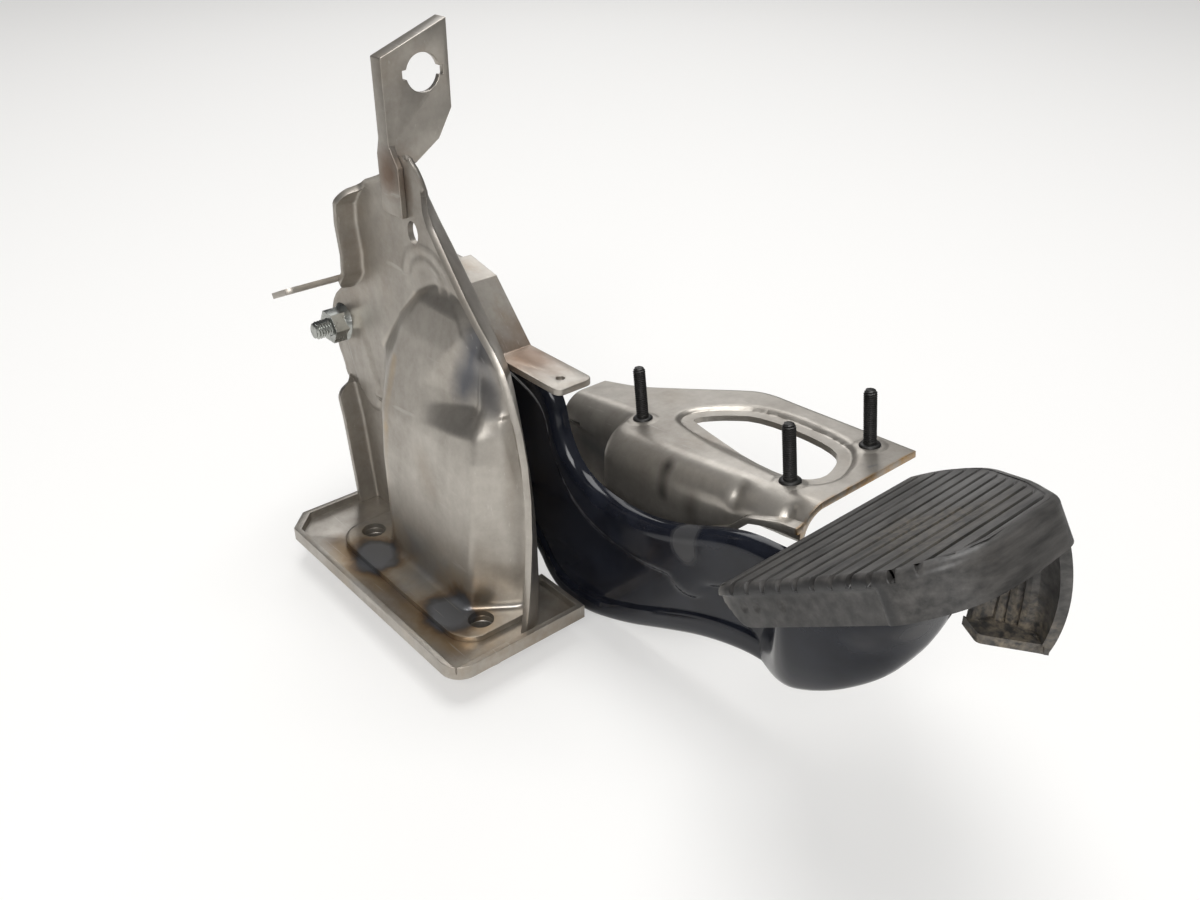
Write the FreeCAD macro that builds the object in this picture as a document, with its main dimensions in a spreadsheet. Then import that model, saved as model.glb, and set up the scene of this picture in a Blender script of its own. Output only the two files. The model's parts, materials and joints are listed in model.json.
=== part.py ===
import FreeCAD, Part
import math
import os

import Sketcher

# Brake pedal hung in its bulkhead bracket.
# X runs down the arm towards the pad, Y runs along the pivot bolt and Z rises
# from the bulkhead. The origin is the centre of the four bulkhead holes, on the
# face that the spacers bear against. Lengths are in millimetres.

os.makedirs("parts", exist_ok=True)
doc = FreeCAD.newDocument("brake_pedal")
sheet = doc.addObject("Spreadsheet::Sheet", "sizes")
Vec = FreeCAD.Vector

driving = [
    ("wall", 2.5),
    ("hole_pitch_x", 82),
    ("hole_pitch_y", 90),
    ("bulkhead_hole", 10.5),
    ("spacer_height", 12),
    ("spacer_outer", 20),
    ("base_rear", 73),
    ("base_front", 62),
    ("base_half_width", 72),
    ("base_rim", 6),
    ("base_corner", 9),
    ("base_notch", 9),
    ("rim_play", 0.3),
    ("window_rear", 44),
    ("window_front", 34),
    ("window_half", 22),
    ("mouth_near", 9),
    ("mouth_far", 11),
    ("near_cheek", 24.5),
    ("far_cheek", 27),
    ("flange_depth", 9),
    ("foot_half_width", 14),
    ("foot_past_hole", 11),
    ("foot_corner", 12),
    ("bulge_depth", 20),
    ("tongue_reach", 32),
    ("pivot_back", 80),
    ("pivot_height", 99),
    ("bolt_size", 8),
    ("bolt_clearance", 0.25),
    ("thread_play", 0.02),
    ("bolt_past_nut", 7),
    ("nut_across", 13),
    ("nut_height", 8),
    ("nut_flange", 17.9),
    ("washer_outer", 17),
    ("washer_thickness", 1.6),
    ("head_height", 5.3),
    ("sleeve_outer", 16),
    ("bush_outer", 22),
    ("bush_rim", 27),
    ("bush_rim_thickness", 1.5),
    ("hub_outer", 28),
    ("side_play", 0.3),
    ("fit_play", 0.05),
    ("arm_near", 5),
    ("arm_width", 13),
    ("arm_sheet", 3),
    ("arm_lip", 6.5),
    ("arm_bend", 5),
    ("arm_eye", 20),
    ("arm_corner", 10),
    ("clevis_height", 80),
    ("clevis_bore", 10),
    ("clevis_bush_outer", 15),
    ("deck_height", 76.6),
    ("deck_tilt", 8),
    ("deck_to_pad", 6),
    ("deck_reach", 83),
    ("deck_wall", 11),
    ("step_start", 37),
    ("step_end", 54),
    ("step_inner_round", 9),
    ("step_outer_round", 16),
    ("roll_radius", 12),
    ("cutout_rim", 5),
    ("stud_size", 5),
    ("stud_length", 22),
    ("stud_collar", 8),
    ("stud_collar_height", 1.2),
    ("tab_width", 16),
    ("tab_height", 122),
    ("tab_hole", 3),
    ("tab_round", 3),
    ("switch_rise", 27),
    ("switch_offset", 12.3),
    ("switch_top", 18),
    ("switch_face", 23),
    ("switch_flange", 7),
    ("switch_hole", 14),
    ("switch_key", 3.2),
    ("switch_key_depth", 1.6),
    ("pad_corner_x", 155),
    ("pad_corner_y", 36),
    ("pad_corner_z", 95),
    ("pad_tilt", 32.7),
    ("pad_width", 85),
    ("pad_length", 100),
    ("pad_skirt", 14),
    ("pad_round", 6),
    ("flap_depth", 42),
    ("flap_wall", 2.6),
    ("rubber_top", 4.5),
    ("rubber_side", 3),
    ("pad_steel", 2.5),
    ("support_near", 32),
    ("support_width", 42),
    ("support_sheet", 3),
    ("support_round", 8),
    ("rib_pitch", 6.7),
    ("groove_width", 1.8),
    ("groove_depth", 2.2),
]
for row, (name, number) in enumerate(driving, start=1):
    sheet.set("A%d" % row, name)
    sheet.set("B%d" % row, str(number))
    sheet.setAlias("B%d" % row, name)
doc.recompute()

nodes = []


def value(size):
    """A size is a number, or words that name cells of the sheet."""
    if isinstance(size, str):
        result = sheet.evalExpression(size)
        return float(getattr(result, "Value", result))
    return float(size)


def bind(item, path, size):
    item.setExpression(path, str(size))


def named(kind, label):
    """A new object that is one of the finished sub-parts."""
    item = doc.addObject(kind, label)
    item.Label = label
    nodes.append(item)
    return item


def hold(sketch, constraint, size):
    index = sketch.addConstraint(constraint)
    bind(sketch, "Constraints[%d]" % index, size)


def hold_point(sketch, geometry, point, place):
    hold(sketch, Sketcher.Constraint("DistanceX", geometry, point, value(place[0])), place[0])
    hold(sketch, Sketcher.Constraint("DistanceY", geometry, point, value(place[1])), place[1])


def draw(body, role, lift, outline=(), circles=()):
    """A sketch on one of the body's planes, lifted along its normal.

    XZ sketches have their normal along -Y, so a lift of 27 lies at Y = -27.
    """
    sketch = body.newObject("Sketcher::SketchObject", "sketch")
    plane = [item for item in body.Origin.OriginFeatures if item.Role == role][0]
    sketch.AttachmentSupport = (plane, [""])
    sketch.MapMode = "FlatFace"
    bind(sketch, "AttachmentOffset.Base.z", lift)
    count = len(outline)
    for index in range(count):
        start, end = outline[index], outline[(index + 1) % count]
        line = Part.LineSegment(
            Vec(value(start[0]), value(start[1]), 0), Vec(value(end[0]), value(end[1]), 0)
        )
        sketch.addGeometry(line)
    for index in range(count):
        sketch.addConstraint(Sketcher.Constraint("Coincident", index, 2, (index + 1) % count, 1))
        hold_point(sketch, index, 1, outline[index])
    for x, y, radius in circles:
        circle = Part.Circle(Vec(value(x), value(y), 0), Vec(0, 0, 1), value(radius))
        geometry = sketch.addGeometry(circle)
        hold_point(sketch, geometry, 3, (x, y))
        hold(sketch, Sketcher.Constraint("Radius", geometry, value(radius)), radius)
    return sketch


def tip_sketch(sketch, angle):
    """Lean a sketch on the XY plane about Y, its +X side up."""
    sketch.AttachmentOffset = FreeCAD.Placement(
        sketch.AttachmentOffset.Base, FreeCAD.Rotation(Vec(0, -1, 0), value(angle))
    )
    bind(sketch, "AttachmentOffset.Rotation.Angle", angle)


def pad(body, sketch, length, downwards=False):
    feature = body.newObject("PartDesign::Pad", "pad")
    feature.Profile = sketch
    feature.Reversed = downwards
    bind(feature, "Length", length)
    doc.recompute()
    return feature


def pocket(body, sketch, length=None, along_normal=False):
    """Cut a sketch through, or to a depth, and make sure that something was cut."""
    before = body.Shape.Volume
    feature = body.newObject("PartDesign::Pocket", "pocket")
    feature.Profile = sketch
    feature.Reversed = along_normal
    if length is None:
        feature.Type = "ThroughAll"
    else:
        bind(feature, "Length", length)
    doc.recompute()
    if body.Shape.Volume > before - 1e-3:
        raise RuntimeError("a cut in %s takes nothing away" % body.Label)
    return feature


def loft(body, sketches, kind):
    feature = body.newObject(kind, "loft")
    feature.Profile = sketches[0]
    feature.Sections = sketches[1:]
    feature.Ruled = True
    doc.recompute()
    return feature


def middle(edge):
    return edge.valueAt((edge.FirstParameter + edge.LastParameter) / 2)


def runs_along(edge, axis):
    if len(edge.Vertexes) != 2:
        return False
    step = edge.Vertexes[1].Point - edge.Vertexes[0].Point
    straight = abs(step.Length - edge.Length) < 1e-6
    return straight and step.Length > 1e-6 and abs(abs(step.normalize().dot(axis)) - 1) < 1e-6


def round_edges(body, radius, test):
    """Round every edge of the body that passes the test."""
    base = body.Tip
    picked = ["Edge%d" % (index + 1) for index, edge in enumerate(base.Shape.Edges) if test(edge)]
    if not picked:
        raise RuntimeError("no edge to round in %s" % body.Label)
    feature = body.newObject("PartDesign::Fillet", "rounding")
    feature.Base = (base, picked)
    bind(feature, "Radius", radius)
    doc.recompute()
    return feature


def follow_on(label, base):
    """A body that carries on from a blank made elsewhere in the document."""
    body = named("PartDesign::Body", label)
    body.BaseFeature = base
    doc.recompute()
    return body


def cut_blank(label, outer, tools):
    """The outer form of a pressing with its inner form taken out."""
    taken = tools[0]
    if len(tools) > 1:
        taken = doc.addObject("Part::MultiFuse", label + "_tools")
        taken.Shapes = tools
    cut = doc.addObject("Part::Cut", label)
    cut.Base, cut.Tool = outer, taken
    doc.recompute()
    return cut


def plain_body(label):
    body = doc.addObject("PartDesign::Body", label)
    body.Label = label
    return body


def inset(points, gap):
    """The same outline with every side moved inwards by a gap. Points run anticlockwise."""
    moved = []
    count = len(points)
    for index in range(count):
        x0, y0 = points[index - 1]
        x1, y1 = points[index]
        x2, y2 = points[(index + 1) % count]
        first = math.atan2(y1 - y0, x1 - x0)
        second = math.atan2(y2 - y1, x2 - x1)
        half = (second - first) / 2
        reach = gap / math.cos(half)
        turn = (first + second) / 2 + math.pi / 2
        if abs(second - first) > math.pi:
            reach = -reach
        moved.append((x1 + reach * math.cos(turn), y1 + reach * math.sin(turn)))
    return moved


ALONG_X = Vec(1, 0, 0)
ALONG_Y = Vec(0, 1, 0)
ALONG_Z = Vec(0, 0, 1)
BASE_TOP = "sizes.spacer_height + sizes.wall"
PIVOT_X = "-sizes.pivot_back"
PIVOT_Z = "sizes.pivot_height"
BOLT_HOLE = "sizes.bolt_size / 2 + sizes.bolt_clearance"
HOLE = "sizes.bulkhead_hole / 2"


REAR_CLEAR = "-sizes.base_rear + sizes.wall + sizes.rim_play"
DECK_FRONT = "sizes.pad_corner_x - sizes.deck_to_pad"

# The curved outlines below were drawn at these sizes and stretch with them.
DRAWN_AT = {
    "pivot_back": 80,
    "pivot_height": 99,
    "base_top": 14.5,
    "deck_front": 149,
    "deck_height": 76.6,
    "deck_reach": 83,
    "tab_height": 122,
    "pad_corner_x": 155,
    "pad_corner_z": 95,
    "pad_width": 85,
    "pad_length": 100,
}


def grown(name, size=None):
    """How many times larger a size is than when the outlines were drawn."""
    return value(size or "sizes." + name) / DRAWN_AT[name]


def scaled(points, across, up):
    return [(x * across, y * up) for x, y in points]


def on_cheek(points):
    """Outlines of the cheeks stretch between the base plate and the pivot."""
    low = value(BASE_TOP)
    tall = (value(PIVOT_Z) - low) / (DRAWN_AT["pivot_height"] - DRAWN_AT["base_top"])
    wide = grown("pivot_back")
    return [(x * wide, low + (z - DRAWN_AT["base_top"]) * tall) for x, z in points]


def along_arm(points):
    """Outlines of the arm stretch between the pivot and the corner of the pad."""
    span = DRAWN_AT["pivot_back"] + DRAWN_AT["pad_corner_x"]
    span_now = value("sizes.pivot_back") + value("sizes.pad_corner_x")
    moved = []
    for x, z in points:
        share = (x + DRAWN_AT["pivot_back"]) / span
        taller = (1 - share) * grown("pivot_height") + share * grown("pad_corner_z")
        moved.append((share * span_now - value("sizes.pivot_back"), z * taller))
    return moved


def foot_outline(side, cheek):
    """Rectangle of a bolted foot, from the cheek outwards past the bulkhead holes."""
    past = "(sizes.hole_pitch_x / 2 + sizes.foot_past_hole)"
    inner = "%d * %s" % (side, cheek)
    outer = "%d * (sizes.hole_pitch_y / 2 + sizes.foot_half_width)" % side
    return [("-" + past, inner), (past, inner), (past, outer), ("-" + past, outer)]


def bulkhead_spots(rows=(-1, 1)):
    """Centres of the bulkhead holes in the near row (-1), the far row (1) or both."""
    spots = []
    for row in rows:
        for side in (-1, 1):
            spots.append(("%d * sizes.hole_pitch_x / 2" % side, "%d * sizes.hole_pitch_y / 2" % row))
    return spots


def build_base_plate():
    """Pressed tray with an upturned rim, four bolt holes and a push rod window.

    The window opens to the front, where the arm swings down through the plate.
    """
    body = named("PartDesign::Body", "base_plate")
    rear, front, half = "-sizes.base_rear", "sizes.base_front", "sizes.base_half_width"
    notch = "sizes.base_notch"
    outline = [
        (rear + " + " + notch, "-" + half),
        (front, "-" + half),
        (front, half),
        (rear, half),
        (rear, "-" + half + " + " + notch),
    ]
    pad(body, draw(body, "XY_Plane", "sizes.spacer_height", outline), "sizes.base_rim")
    round_edges(
        body, "sizes.base_corner",
        lambda edge: runs_along(edge, ALONG_Z) and (middle(edge).x > 0 or middle(edge).y > 0),
    )
    wall = "sizes.wall"
    floor = [
        (rear + " + " + wall + " + " + notch, "-" + half + " + " + wall),
        (front + " - " + wall, "-" + half + " + " + wall),
        (front + " - " + wall, "-sizes.mouth_near - " + wall),
        ("sizes.window_front", "-sizes.mouth_near - " + wall),
        ("sizes.window_front", "sizes.mouth_far + " + wall),
        (front + " - " + wall, "sizes.mouth_far + " + wall),
        (front + " - " + wall, half + " - " + wall),
        (rear + " + " + wall, half + " - " + wall),
        (rear + " + " + wall, "-" + half + " + " + wall + " + " + notch),
    ]
    top = "sizes.spacer_height + sizes.base_rim"
    pocket(body, draw(body, "XY_Plane", top, floor), "sizes.base_rim - sizes.wall")
    opening = [
        ("-sizes.window_rear", "-sizes.window_half"),
        ("sizes.window_front", "-sizes.window_half"),
        ("sizes.window_front", "-sizes.mouth_near"),
        (front + " + 1", "-sizes.mouth_near"),
        (front + " + 1", "sizes.mouth_far"),
        ("sizes.window_front", "sizes.mouth_far"),
        ("sizes.window_front", "sizes.window_half"),
        ("-sizes.window_rear", "sizes.window_half"),
    ]
    pocket(body, draw(body, "XY_Plane", top, opening))
    holes = [(x, y, HOLE) for x, y in bulkhead_spots()]
    pocket(body, draw(body, "XY_Plane", top, circles=holes))


def ring(label, outer, bore, length, place, turn=None):
    """A tube from two cylinders. It rises along Z, or runs towards -Y when turned."""
    parts = []
    for name, radius in (("outside", outer), ("bore", bore)):
        cylinder = doc.addObject("Part::Cylinder", label + "_" + name)
        bind(cylinder, "Radius", radius)
        bind(cylinder, "Height", length)
        put(cylinder, place, turn)
        parts.append(cylinder)
    cut = doc.addObject("Part::Cut", label)
    cut.Base, cut.Tool = parts
    return cut


def put(item, place, turn=None):
    if turn is not None:
        item.Placement = FreeCAD.Placement(Vec(), turn)
    for axis, size in zip("xyz", place):
        bind(item, "Placement.Base." + axis, size)


TOWARDS_NEAR = FreeCAD.Rotation(Vec(1, 0, 0), 90)


def build_spacers():
    """Turned collars welded under the plate, one round each bolt hole."""
    collars = []
    for index, (x, y) in enumerate(bulkhead_spots()):
        collars.append(
            ring("spacer_%d" % (index + 1), "sizes.spacer_outer / 2", HOLE, "sizes.spacer_height", (x, y, 0))
        )
    group = named("Part::Compound", "bulkhead_spacers")
    group.Links = collars


NEAR_FLANGED_FRONT = [(3, 172), (15.5, 146), (38, 127), (50, 121), (59, 79), (56, 26.5), (56, 14.5)]
NEAR_REAR_LOW = [(-70.2, 14.5), (-77, 73)]
NEAR_ROUND_PIVOT = [(-85, 71), (-84, 79), (-89, 85), (-91, 101), (-87, 109), (-78, 116)]
NEAR_REAR_HIGH = [(-65.5, 123.6), (-57, 132), (-62, 158), (-53, 168)]
NEAR_CROWN = [(-32, 175), (-25, 183), (-18, 185), (-8, 181)]
NEAR_FRONT = [
    (-3, 171), (14, 154), (27, 139), (38, 125), (42, 118), (46, 101), (52, 77), (55, 44), (54, 14.5),
]
NEAR_FRONT_LIP = [
    (8.5, 173.5), (20.5, 158.5), (34.5, 142), (50.5, 128), (55, 119), (62.5, 101), (65, 72), (61.5, 34),
    (58, 14.5),
]
NEAR_BULGE = [
    (14.5, -51, -12, 10, 49, 1.0), (82, -46, -24, 16, 47, 0.85), (112, -36, -27, 14, 38, 0.6),
    (140, -12, -9, -3, 5, 0.1),
]


def build_near_side_plate():
    """Deep pressed cheek: panel, bulge, edge flanges turned outwards and a bolted foot.

    The rear flanges stand square on the panel and the front one leans forwards.
    """
    body = named("PartDesign::Body", "near_side_plate")
    behind = on_cheek(NEAR_REAR_LOW + NEAR_ROUND_PIVOT + NEAR_REAR_HIGH + NEAR_CROWN)
    behind[0] = (value(REAR_CLEAR), value(BASE_TOP))
    around = behind + on_cheek(NEAR_FRONT)
    inner = inset(around[::-1], value("sizes.wall"))[::-1]
    cheek = "sizes.near_cheek"
    lip = cheek + " + sizes.wall + sizes.flange_depth"
    pad(body, draw(body, "XZ_Plane", cheek, around), "sizes.wall")
    first = 0
    for chain, flanged in ((NEAR_REAR_LOW, True), (NEAR_ROUND_PIVOT, False), (NEAR_REAR_HIGH, True)):
        last = first + len(chain)
        if flanged:
            strip = around[first:last] + inner[first:last][::-1]
            pad(body, draw(body, "XZ_Plane", cheek, strip), "sizes.wall + sizes.flange_depth")
        first = last
    count = len(NEAR_FRONT)
    around_lip = behind + on_cheek(NEAR_FRONT_LIP)
    inner_lip = inset(around_lip[::-1], value("sizes.wall"))[::-1]
    front_root = draw(body, "XZ_Plane", cheek, around[-count:] + inner[-count:][::-1])
    front_lip = draw(body, "XZ_Plane", lip, around_lip[-count:] + inner_lip[-count:][::-1])
    loft(body, [front_root, front_lip], "PartDesign::AdditiveLoft")
    foot = foot_outline(-1, "sizes.near_cheek")
    pad(body, draw(body, "XY_Plane", BASE_TOP, foot), "sizes.wall")
    foot_edge = -value("sizes.hole_pitch_y / 2 + sizes.foot_half_width")
    round_edges(
        body, "sizes.foot_corner",
        lambda edge: runs_along(edge, ALONG_Z) and abs(middle(edge).y - foot_edge) < 0.01,
    )
    draw_bulge(body, 0, "PartDesign::AdditiveLoft")
    draw_bulge(body, value("sizes.wall"), "PartDesign::SubtractiveLoft")
    tongue = on_cheek([(-62, 126), (-78.6, 118.7), (-79.6, 121.0), (-63, 128.3)])
    pad(body, draw(body, "XZ_Plane", cheek, tongue), "sizes.wall + sizes.tongue_reach")
    inside = "sizes.near_cheek - 1"
    through = "sizes.flange_depth + 2 * sizes.tongue_reach"
    bolt_hole = draw(body, "XZ_Plane", inside, circles=[(PIVOT_X, PIVOT_Z, BOLT_HOLE)])
    pocket(body, bolt_hole, "sizes.wall + 2", True)
    oval = on_cheek([(-20, 154), (-14, 152), (-11, 160), (-17, 162)])
    pocket(body, draw(body, "XZ_Plane", inside, oval), through, True)
    holes = [(x, y, HOLE) for x, y in bulkhead_spots([-1])]
    pocket(body, draw(body, "XY_Plane", "sizes.spacer_height + sizes.wall * 3", circles=holes))


def draw_bulge(body, gap, kind):
    """Sections of the bulge from the foot up: a flat-topped hill on the panel."""
    sketches = []
    for drawn_z, left, crest_left, crest_right, right, share in NEAR_BULGE:
        line = on_cheek([(left, drawn_z), (crest_left, drawn_z), (crest_right, drawn_z), (right, drawn_z)])
        (left, z), (crest_left, z), (crest_right, z), (right, z) = line
        if gap and not sketches:
            z = z - gap
        root = "-sizes.near_cheek + %s" % (0.01 if gap else -0.01)
        crest = "-sizes.near_cheek - sizes.wall - sizes.bulge_depth * %s + %s" % (share, gap)
        outline = [
            (left + 1.4 * gap, root),
            (crest_left + 0.5 * gap, crest),
            (crest_right - 0.5 * gap, crest),
            (right - 1.4 * gap, root),
        ]
        sketches.append(draw(body, "XY_Plane", z, outline))
    loft(body, sketches, kind)


STUDS = [(50, 32), (131, 26), (134, 66)]


def deck_blank(label, plan, level, gap):
    """Deck and walls as one solid, its front edges rolled. The gap is the sheet left outside."""
    body = plain_body(label)
    deck = draw(body, "XY_Plane", "%s - %s / cos(sizes.deck_tilt)" % (level, gap), plan)
    tip_sketch(deck, "sizes.deck_tilt")
    pad(body, deck, "sizes.far_cheek + 9", downwards=True)
    lean = math.radians(value("sizes.deck_tilt"))
    level_now = value("sizes.deck_height") - value(gap) / math.cos(lean)
    reach = value("sizes.far_cheek") + value(gap) + 0.5

    def upright(edge):
        if len(edge.Vertexes) != 2:
            return False
        return abs(edge.tangentAt(edge.FirstParameter).z) > 0.9 and middle(edge).y < reach

    start, end = value("sizes.step_start"), value("sizes.step_end")
    halfway = (start + end) / 2
    inner_round, outer_round = "sizes.step_inner_round + %s" % gap, "sizes.step_outer_round - %s" % gap
    round_edges(body, inner_round, lambda edge: upright(edge) and start / 2 < middle(edge).x < halfway)
    round_edges(body, outer_round, lambda edge: upright(edge) and halfway < middle(edge).x < end + start / 2)

    def on_front(edge):
        point = middle(edge)
        off = point.z - level_now - point.x * math.tan(lean)
        if abs(off) > 0.3 or point.y > reach or len(edge.Vertexes) != 2:
            return False
        return abs(edge.tangentAt(edge.FirstParameter).x) > 0.5

    round_edges(body, "sizes.roll_radius - %s" % gap, on_front)
    return body


def build_far_side_bracket():
    """One large pressing: far cheek, stepped wall, rolled corner and tilted stud deck."""
    slope = 1 / math.cos(math.radians(value("sizes.deck_tilt")))
    longer, deeper = grown("deck_front", DECK_FRONT), grown("deck_reach")
    start, end = value("sizes.step_start"), value("sizes.step_end")
    face_a, face_b = value("sizes.far_cheek"), value("sizes.deck_wall")
    front, far_side = value(DECK_FRONT) * slope, value("sizes.deck_reach")
    corners = scaled([(149, 72), (143, 73), (69, 83), (23, 55), (5, 51)], longer * slope, deeper)
    plan = [(5 * longer, face_a), (start, face_a), (end, face_b), (front, face_b)] + corners
    past = DRAWN_AT["base_top"]
    room = [
        (-past, face_a), (start, face_a), (end, face_b), (front + past, face_b),
        (front + past, far_side + past), (-past, far_side + past),
    ]
    outer = deck_blank("deck_outside", plan, "sizes.deck_height", 0)
    inner = deck_blank("deck_inside", inset(room, value("sizes.wall")), "sizes.deck_height", "sizes.wall")
    body = follow_on("far_side_bracket", cut_blank("deck", outer, [inner]))
    trim = [
        (50, 20), (50, 52), (80, 57), (104, 68.5), (121, 76.5), (128, 84), (149, 91), (165, 91), (165, 20),
    ]
    pocket(body, draw(body, "XZ_Plane", 0, scaled(trim, longer, grown("deck_height"))))
    cutout = [(62, 47), (120, 28), (138.5, 35), (132.5, 50), (123.5, 60), (84, 66), (69, 56)]
    cutout = scaled(cutout, longer, deeper)
    rim = draw(body, "XY_Plane", "sizes.deck_height", inset(cutout, -value("sizes.wall")))
    tip_sketch(rim, "sizes.deck_tilt")
    pad(body, rim, "sizes.cutout_rim", downwards=True)
    window = draw(body, "XY_Plane", "sizes.deck_height + 2 * sizes.wall", cutout)
    tip_sketch(window, "sizes.deck_tilt")
    pocket(body, window)
    cheek = on_cheek([
        (-70.2, 14.5), (-76, 68), (-92, 84), (-96, 99), (-92, 112), (-80, 119), (-60, 119), (-46, 114),
        (-38, 99.6), (-30, 90), (-23, 87), (-8, 78), (6, 66), (38, 68), (42, 14.5),
    ])
    cheek[0] = (value(REAR_CLEAR), value(BASE_TOP))
    outer = "-sizes.far_cheek - sizes.wall"
    pad(body, draw(body, "XZ_Plane", outer, cheek), "sizes.wall")
    pad(body, draw(body, "XY_Plane", BASE_TOP, foot_outline(1, "sizes.far_cheek")), "sizes.wall")
    holes = [(x, y, HOLE) for x, y in bulkhead_spots([1])]
    pocket(body, draw(body, "XY_Plane", "sizes.spacer_height + sizes.wall * 3", circles=holes))
    pocket(body, draw(body, "XZ_Plane", 0, circles=[(PIVOT_X, PIVOT_Z, BOLT_HOLE)]))


def build_studs():
    """Weld studs standing square on the tilted deck, each on its weld collar."""
    studs = []
    slope = 1 / math.cos(math.radians(value("sizes.deck_tilt")))
    spots = scaled(STUDS, grown("deck_front", DECK_FRONT) * slope, grown("deck_reach"))
    for index, (x, y) in enumerate(spots):
        pieces = []
        for name, radius, length in (
            ("shank", "sizes.stud_size / 2", "sizes.stud_length"),
            ("collar", "sizes.stud_collar / 2", "sizes.stud_collar_height"),
        ):
            cylinder = doc.addObject("Part::Cylinder", "stud_%d_%s" % (index + 1, name))
            bind(cylinder, "Radius", radius)
            bind(cylinder, "Height", length)
            put(cylinder, (x, y, 0))
            pieces.append(cylinder)
        stud = doc.addObject("Part::MultiFuse", "stud_%d" % (index + 1))
        stud.Shapes = pieces
        studs.append(stud)
    group = named("Part::Compound", "mounting_studs")
    group.Links = studs
    group.Placement = FreeCAD.Placement(Vec(), FreeCAD.Rotation(Vec(0, -1, 0), value("sizes.deck_tilt")))
    bind(group, "Placement.Base.z", "sizes.deck_height")
    bind(group, "Placement.Rotation.Angle", "sizes.deck_tilt")


def build_stop_bracket():
    """Folded strap welded inside the near cheek, with a level tab beside the arm."""
    body = named("PartDesign::Body", "stop_bracket")
    top, under = value("sizes.tab_height"), value("sizes.tab_height - sizes.wall")
    strap = on_cheek([(31.5, 122), (11.5, 143.6), (-5, 147.1), (-5.5, 144.5), (10, 141), (30.4, 119.5)])
    end = 67.5 * grown("tab_height")
    outline = [(end, top), (strap[0][0], top)] + strap[1:5] + [(strap[5][0], under), (end, under)]
    near = "sizes.near_cheek - sizes.tab_width"
    pad(body, draw(body, "XZ_Plane", near, outline), "sizes.tab_width")
    round_edges(body, "sizes.tab_round", lambda edge: runs_along(edge, ALONG_Z) and middle(edge).x > end - 1)
    hole_y = "-sizes.near_cheek + 7 / 16 * sizes.tab_width"
    hole = ("%s - 2.5 * sizes.tab_hole" % end, hole_y, "sizes.tab_hole / 2")
    pocket(body, draw(body, "XY_Plane", "sizes.tab_height + 1", circles=[hole]), "2 * sizes.wall")


def build_switch_bracket():
    """Small flanged plate with a keyed round hole, welded to the crown of the near cheek."""
    body = named("PartDesign::Body", "switch_bracket")
    wide = grown("pivot_back")
    crown = on_cheek([(0, 185)])[0][1]
    face = "-sizes.switch_face - sizes.wall"
    edge_y = "-sizes.near_cheek - 2 * sizes.wall"
    middle_y, middle_z = "-sizes.switch_offset", "%s + sizes.switch_rise" % crown
    top = middle_z + " + sizes.switch_top"
    shoulder = middle_z + " + sizes.switch_hole / 2"
    far_y = "-sizes.wall / 2.5"
    low_side = "%s - sizes.switch_hole" % middle_z
    corner = "(%s) - sizes.switch_offset / 2" % middle_y
    plate = [
        (edge_y, "%s + 0.4 * sizes.wall" % crown), (corner, "%s - 2 * sizes.wall" % crown),
        (middle_y + " + 2 * sizes.wall", "%s + sizes.wall" % crown), (far_y, low_side), (far_y, top),
        (edge_y, shoulder),
    ]
    pad(body, draw(body, "YZ_Plane", face, plate), "sizes.wall")
    rear = "-sizes.switch_face - sizes.switch_flange"
    top_flange = [
        (edge_y, shoulder), (edge_y, shoulder + " - sizes.wall"),
        (far_y, top + " - sizes.wall"), (far_y, top),
    ]
    pad(body, draw(body, "YZ_Plane", rear, top_flange), "sizes.switch_flange")
    inner_face = "-sizes.switch_face"
    tail_low, tail_high = on_cheek([(-32, 162), (-18, 181)])
    lap = tail_high[1]
    tail = [
        tail_low, (tail_high[0], tail_low[1]), tail_high, (inner_face, lap + 7 * wide),
        (inner_face, shoulder), (rear, shoulder), (rear, lap + 9 * wide), (tail_low[0], lap + 3 * wide),
    ]
    pad(body, draw(body, "XZ_Plane", "sizes.near_cheek + sizes.wall", tail), "sizes.wall")
    hole = (middle_y, middle_z, "sizes.switch_hole / 2")
    pocket(body, draw(body, "YZ_Plane", 0, circles=[hole]))
    reach = "(sizes.switch_hole / 2 + sizes.switch_key_depth)"
    half = "sizes.switch_key / 2"
    key = []
    for across, up in ((-1, -1), (1, -1), (1, 1), (-1, 1)):
        key.append(("%s + %d * %s" % (middle_y, across, reach), "%s + %d * %s" % (middle_z, up, half)))
    pocket(body, draw(body, "YZ_Plane", 0, key))


def rod(label, kind, place, **sizes_of):
    """A cylinder, cone or hexagonal prism lying along the pivot axis towards -Y."""
    item = doc.addObject(kind, label)
    for name, size in sizes_of.items():
        bind(item, name, size)
    put(item, (PIVOT_X, place, PIVOT_Z), TOWARDS_NEAR)
    return item


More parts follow.
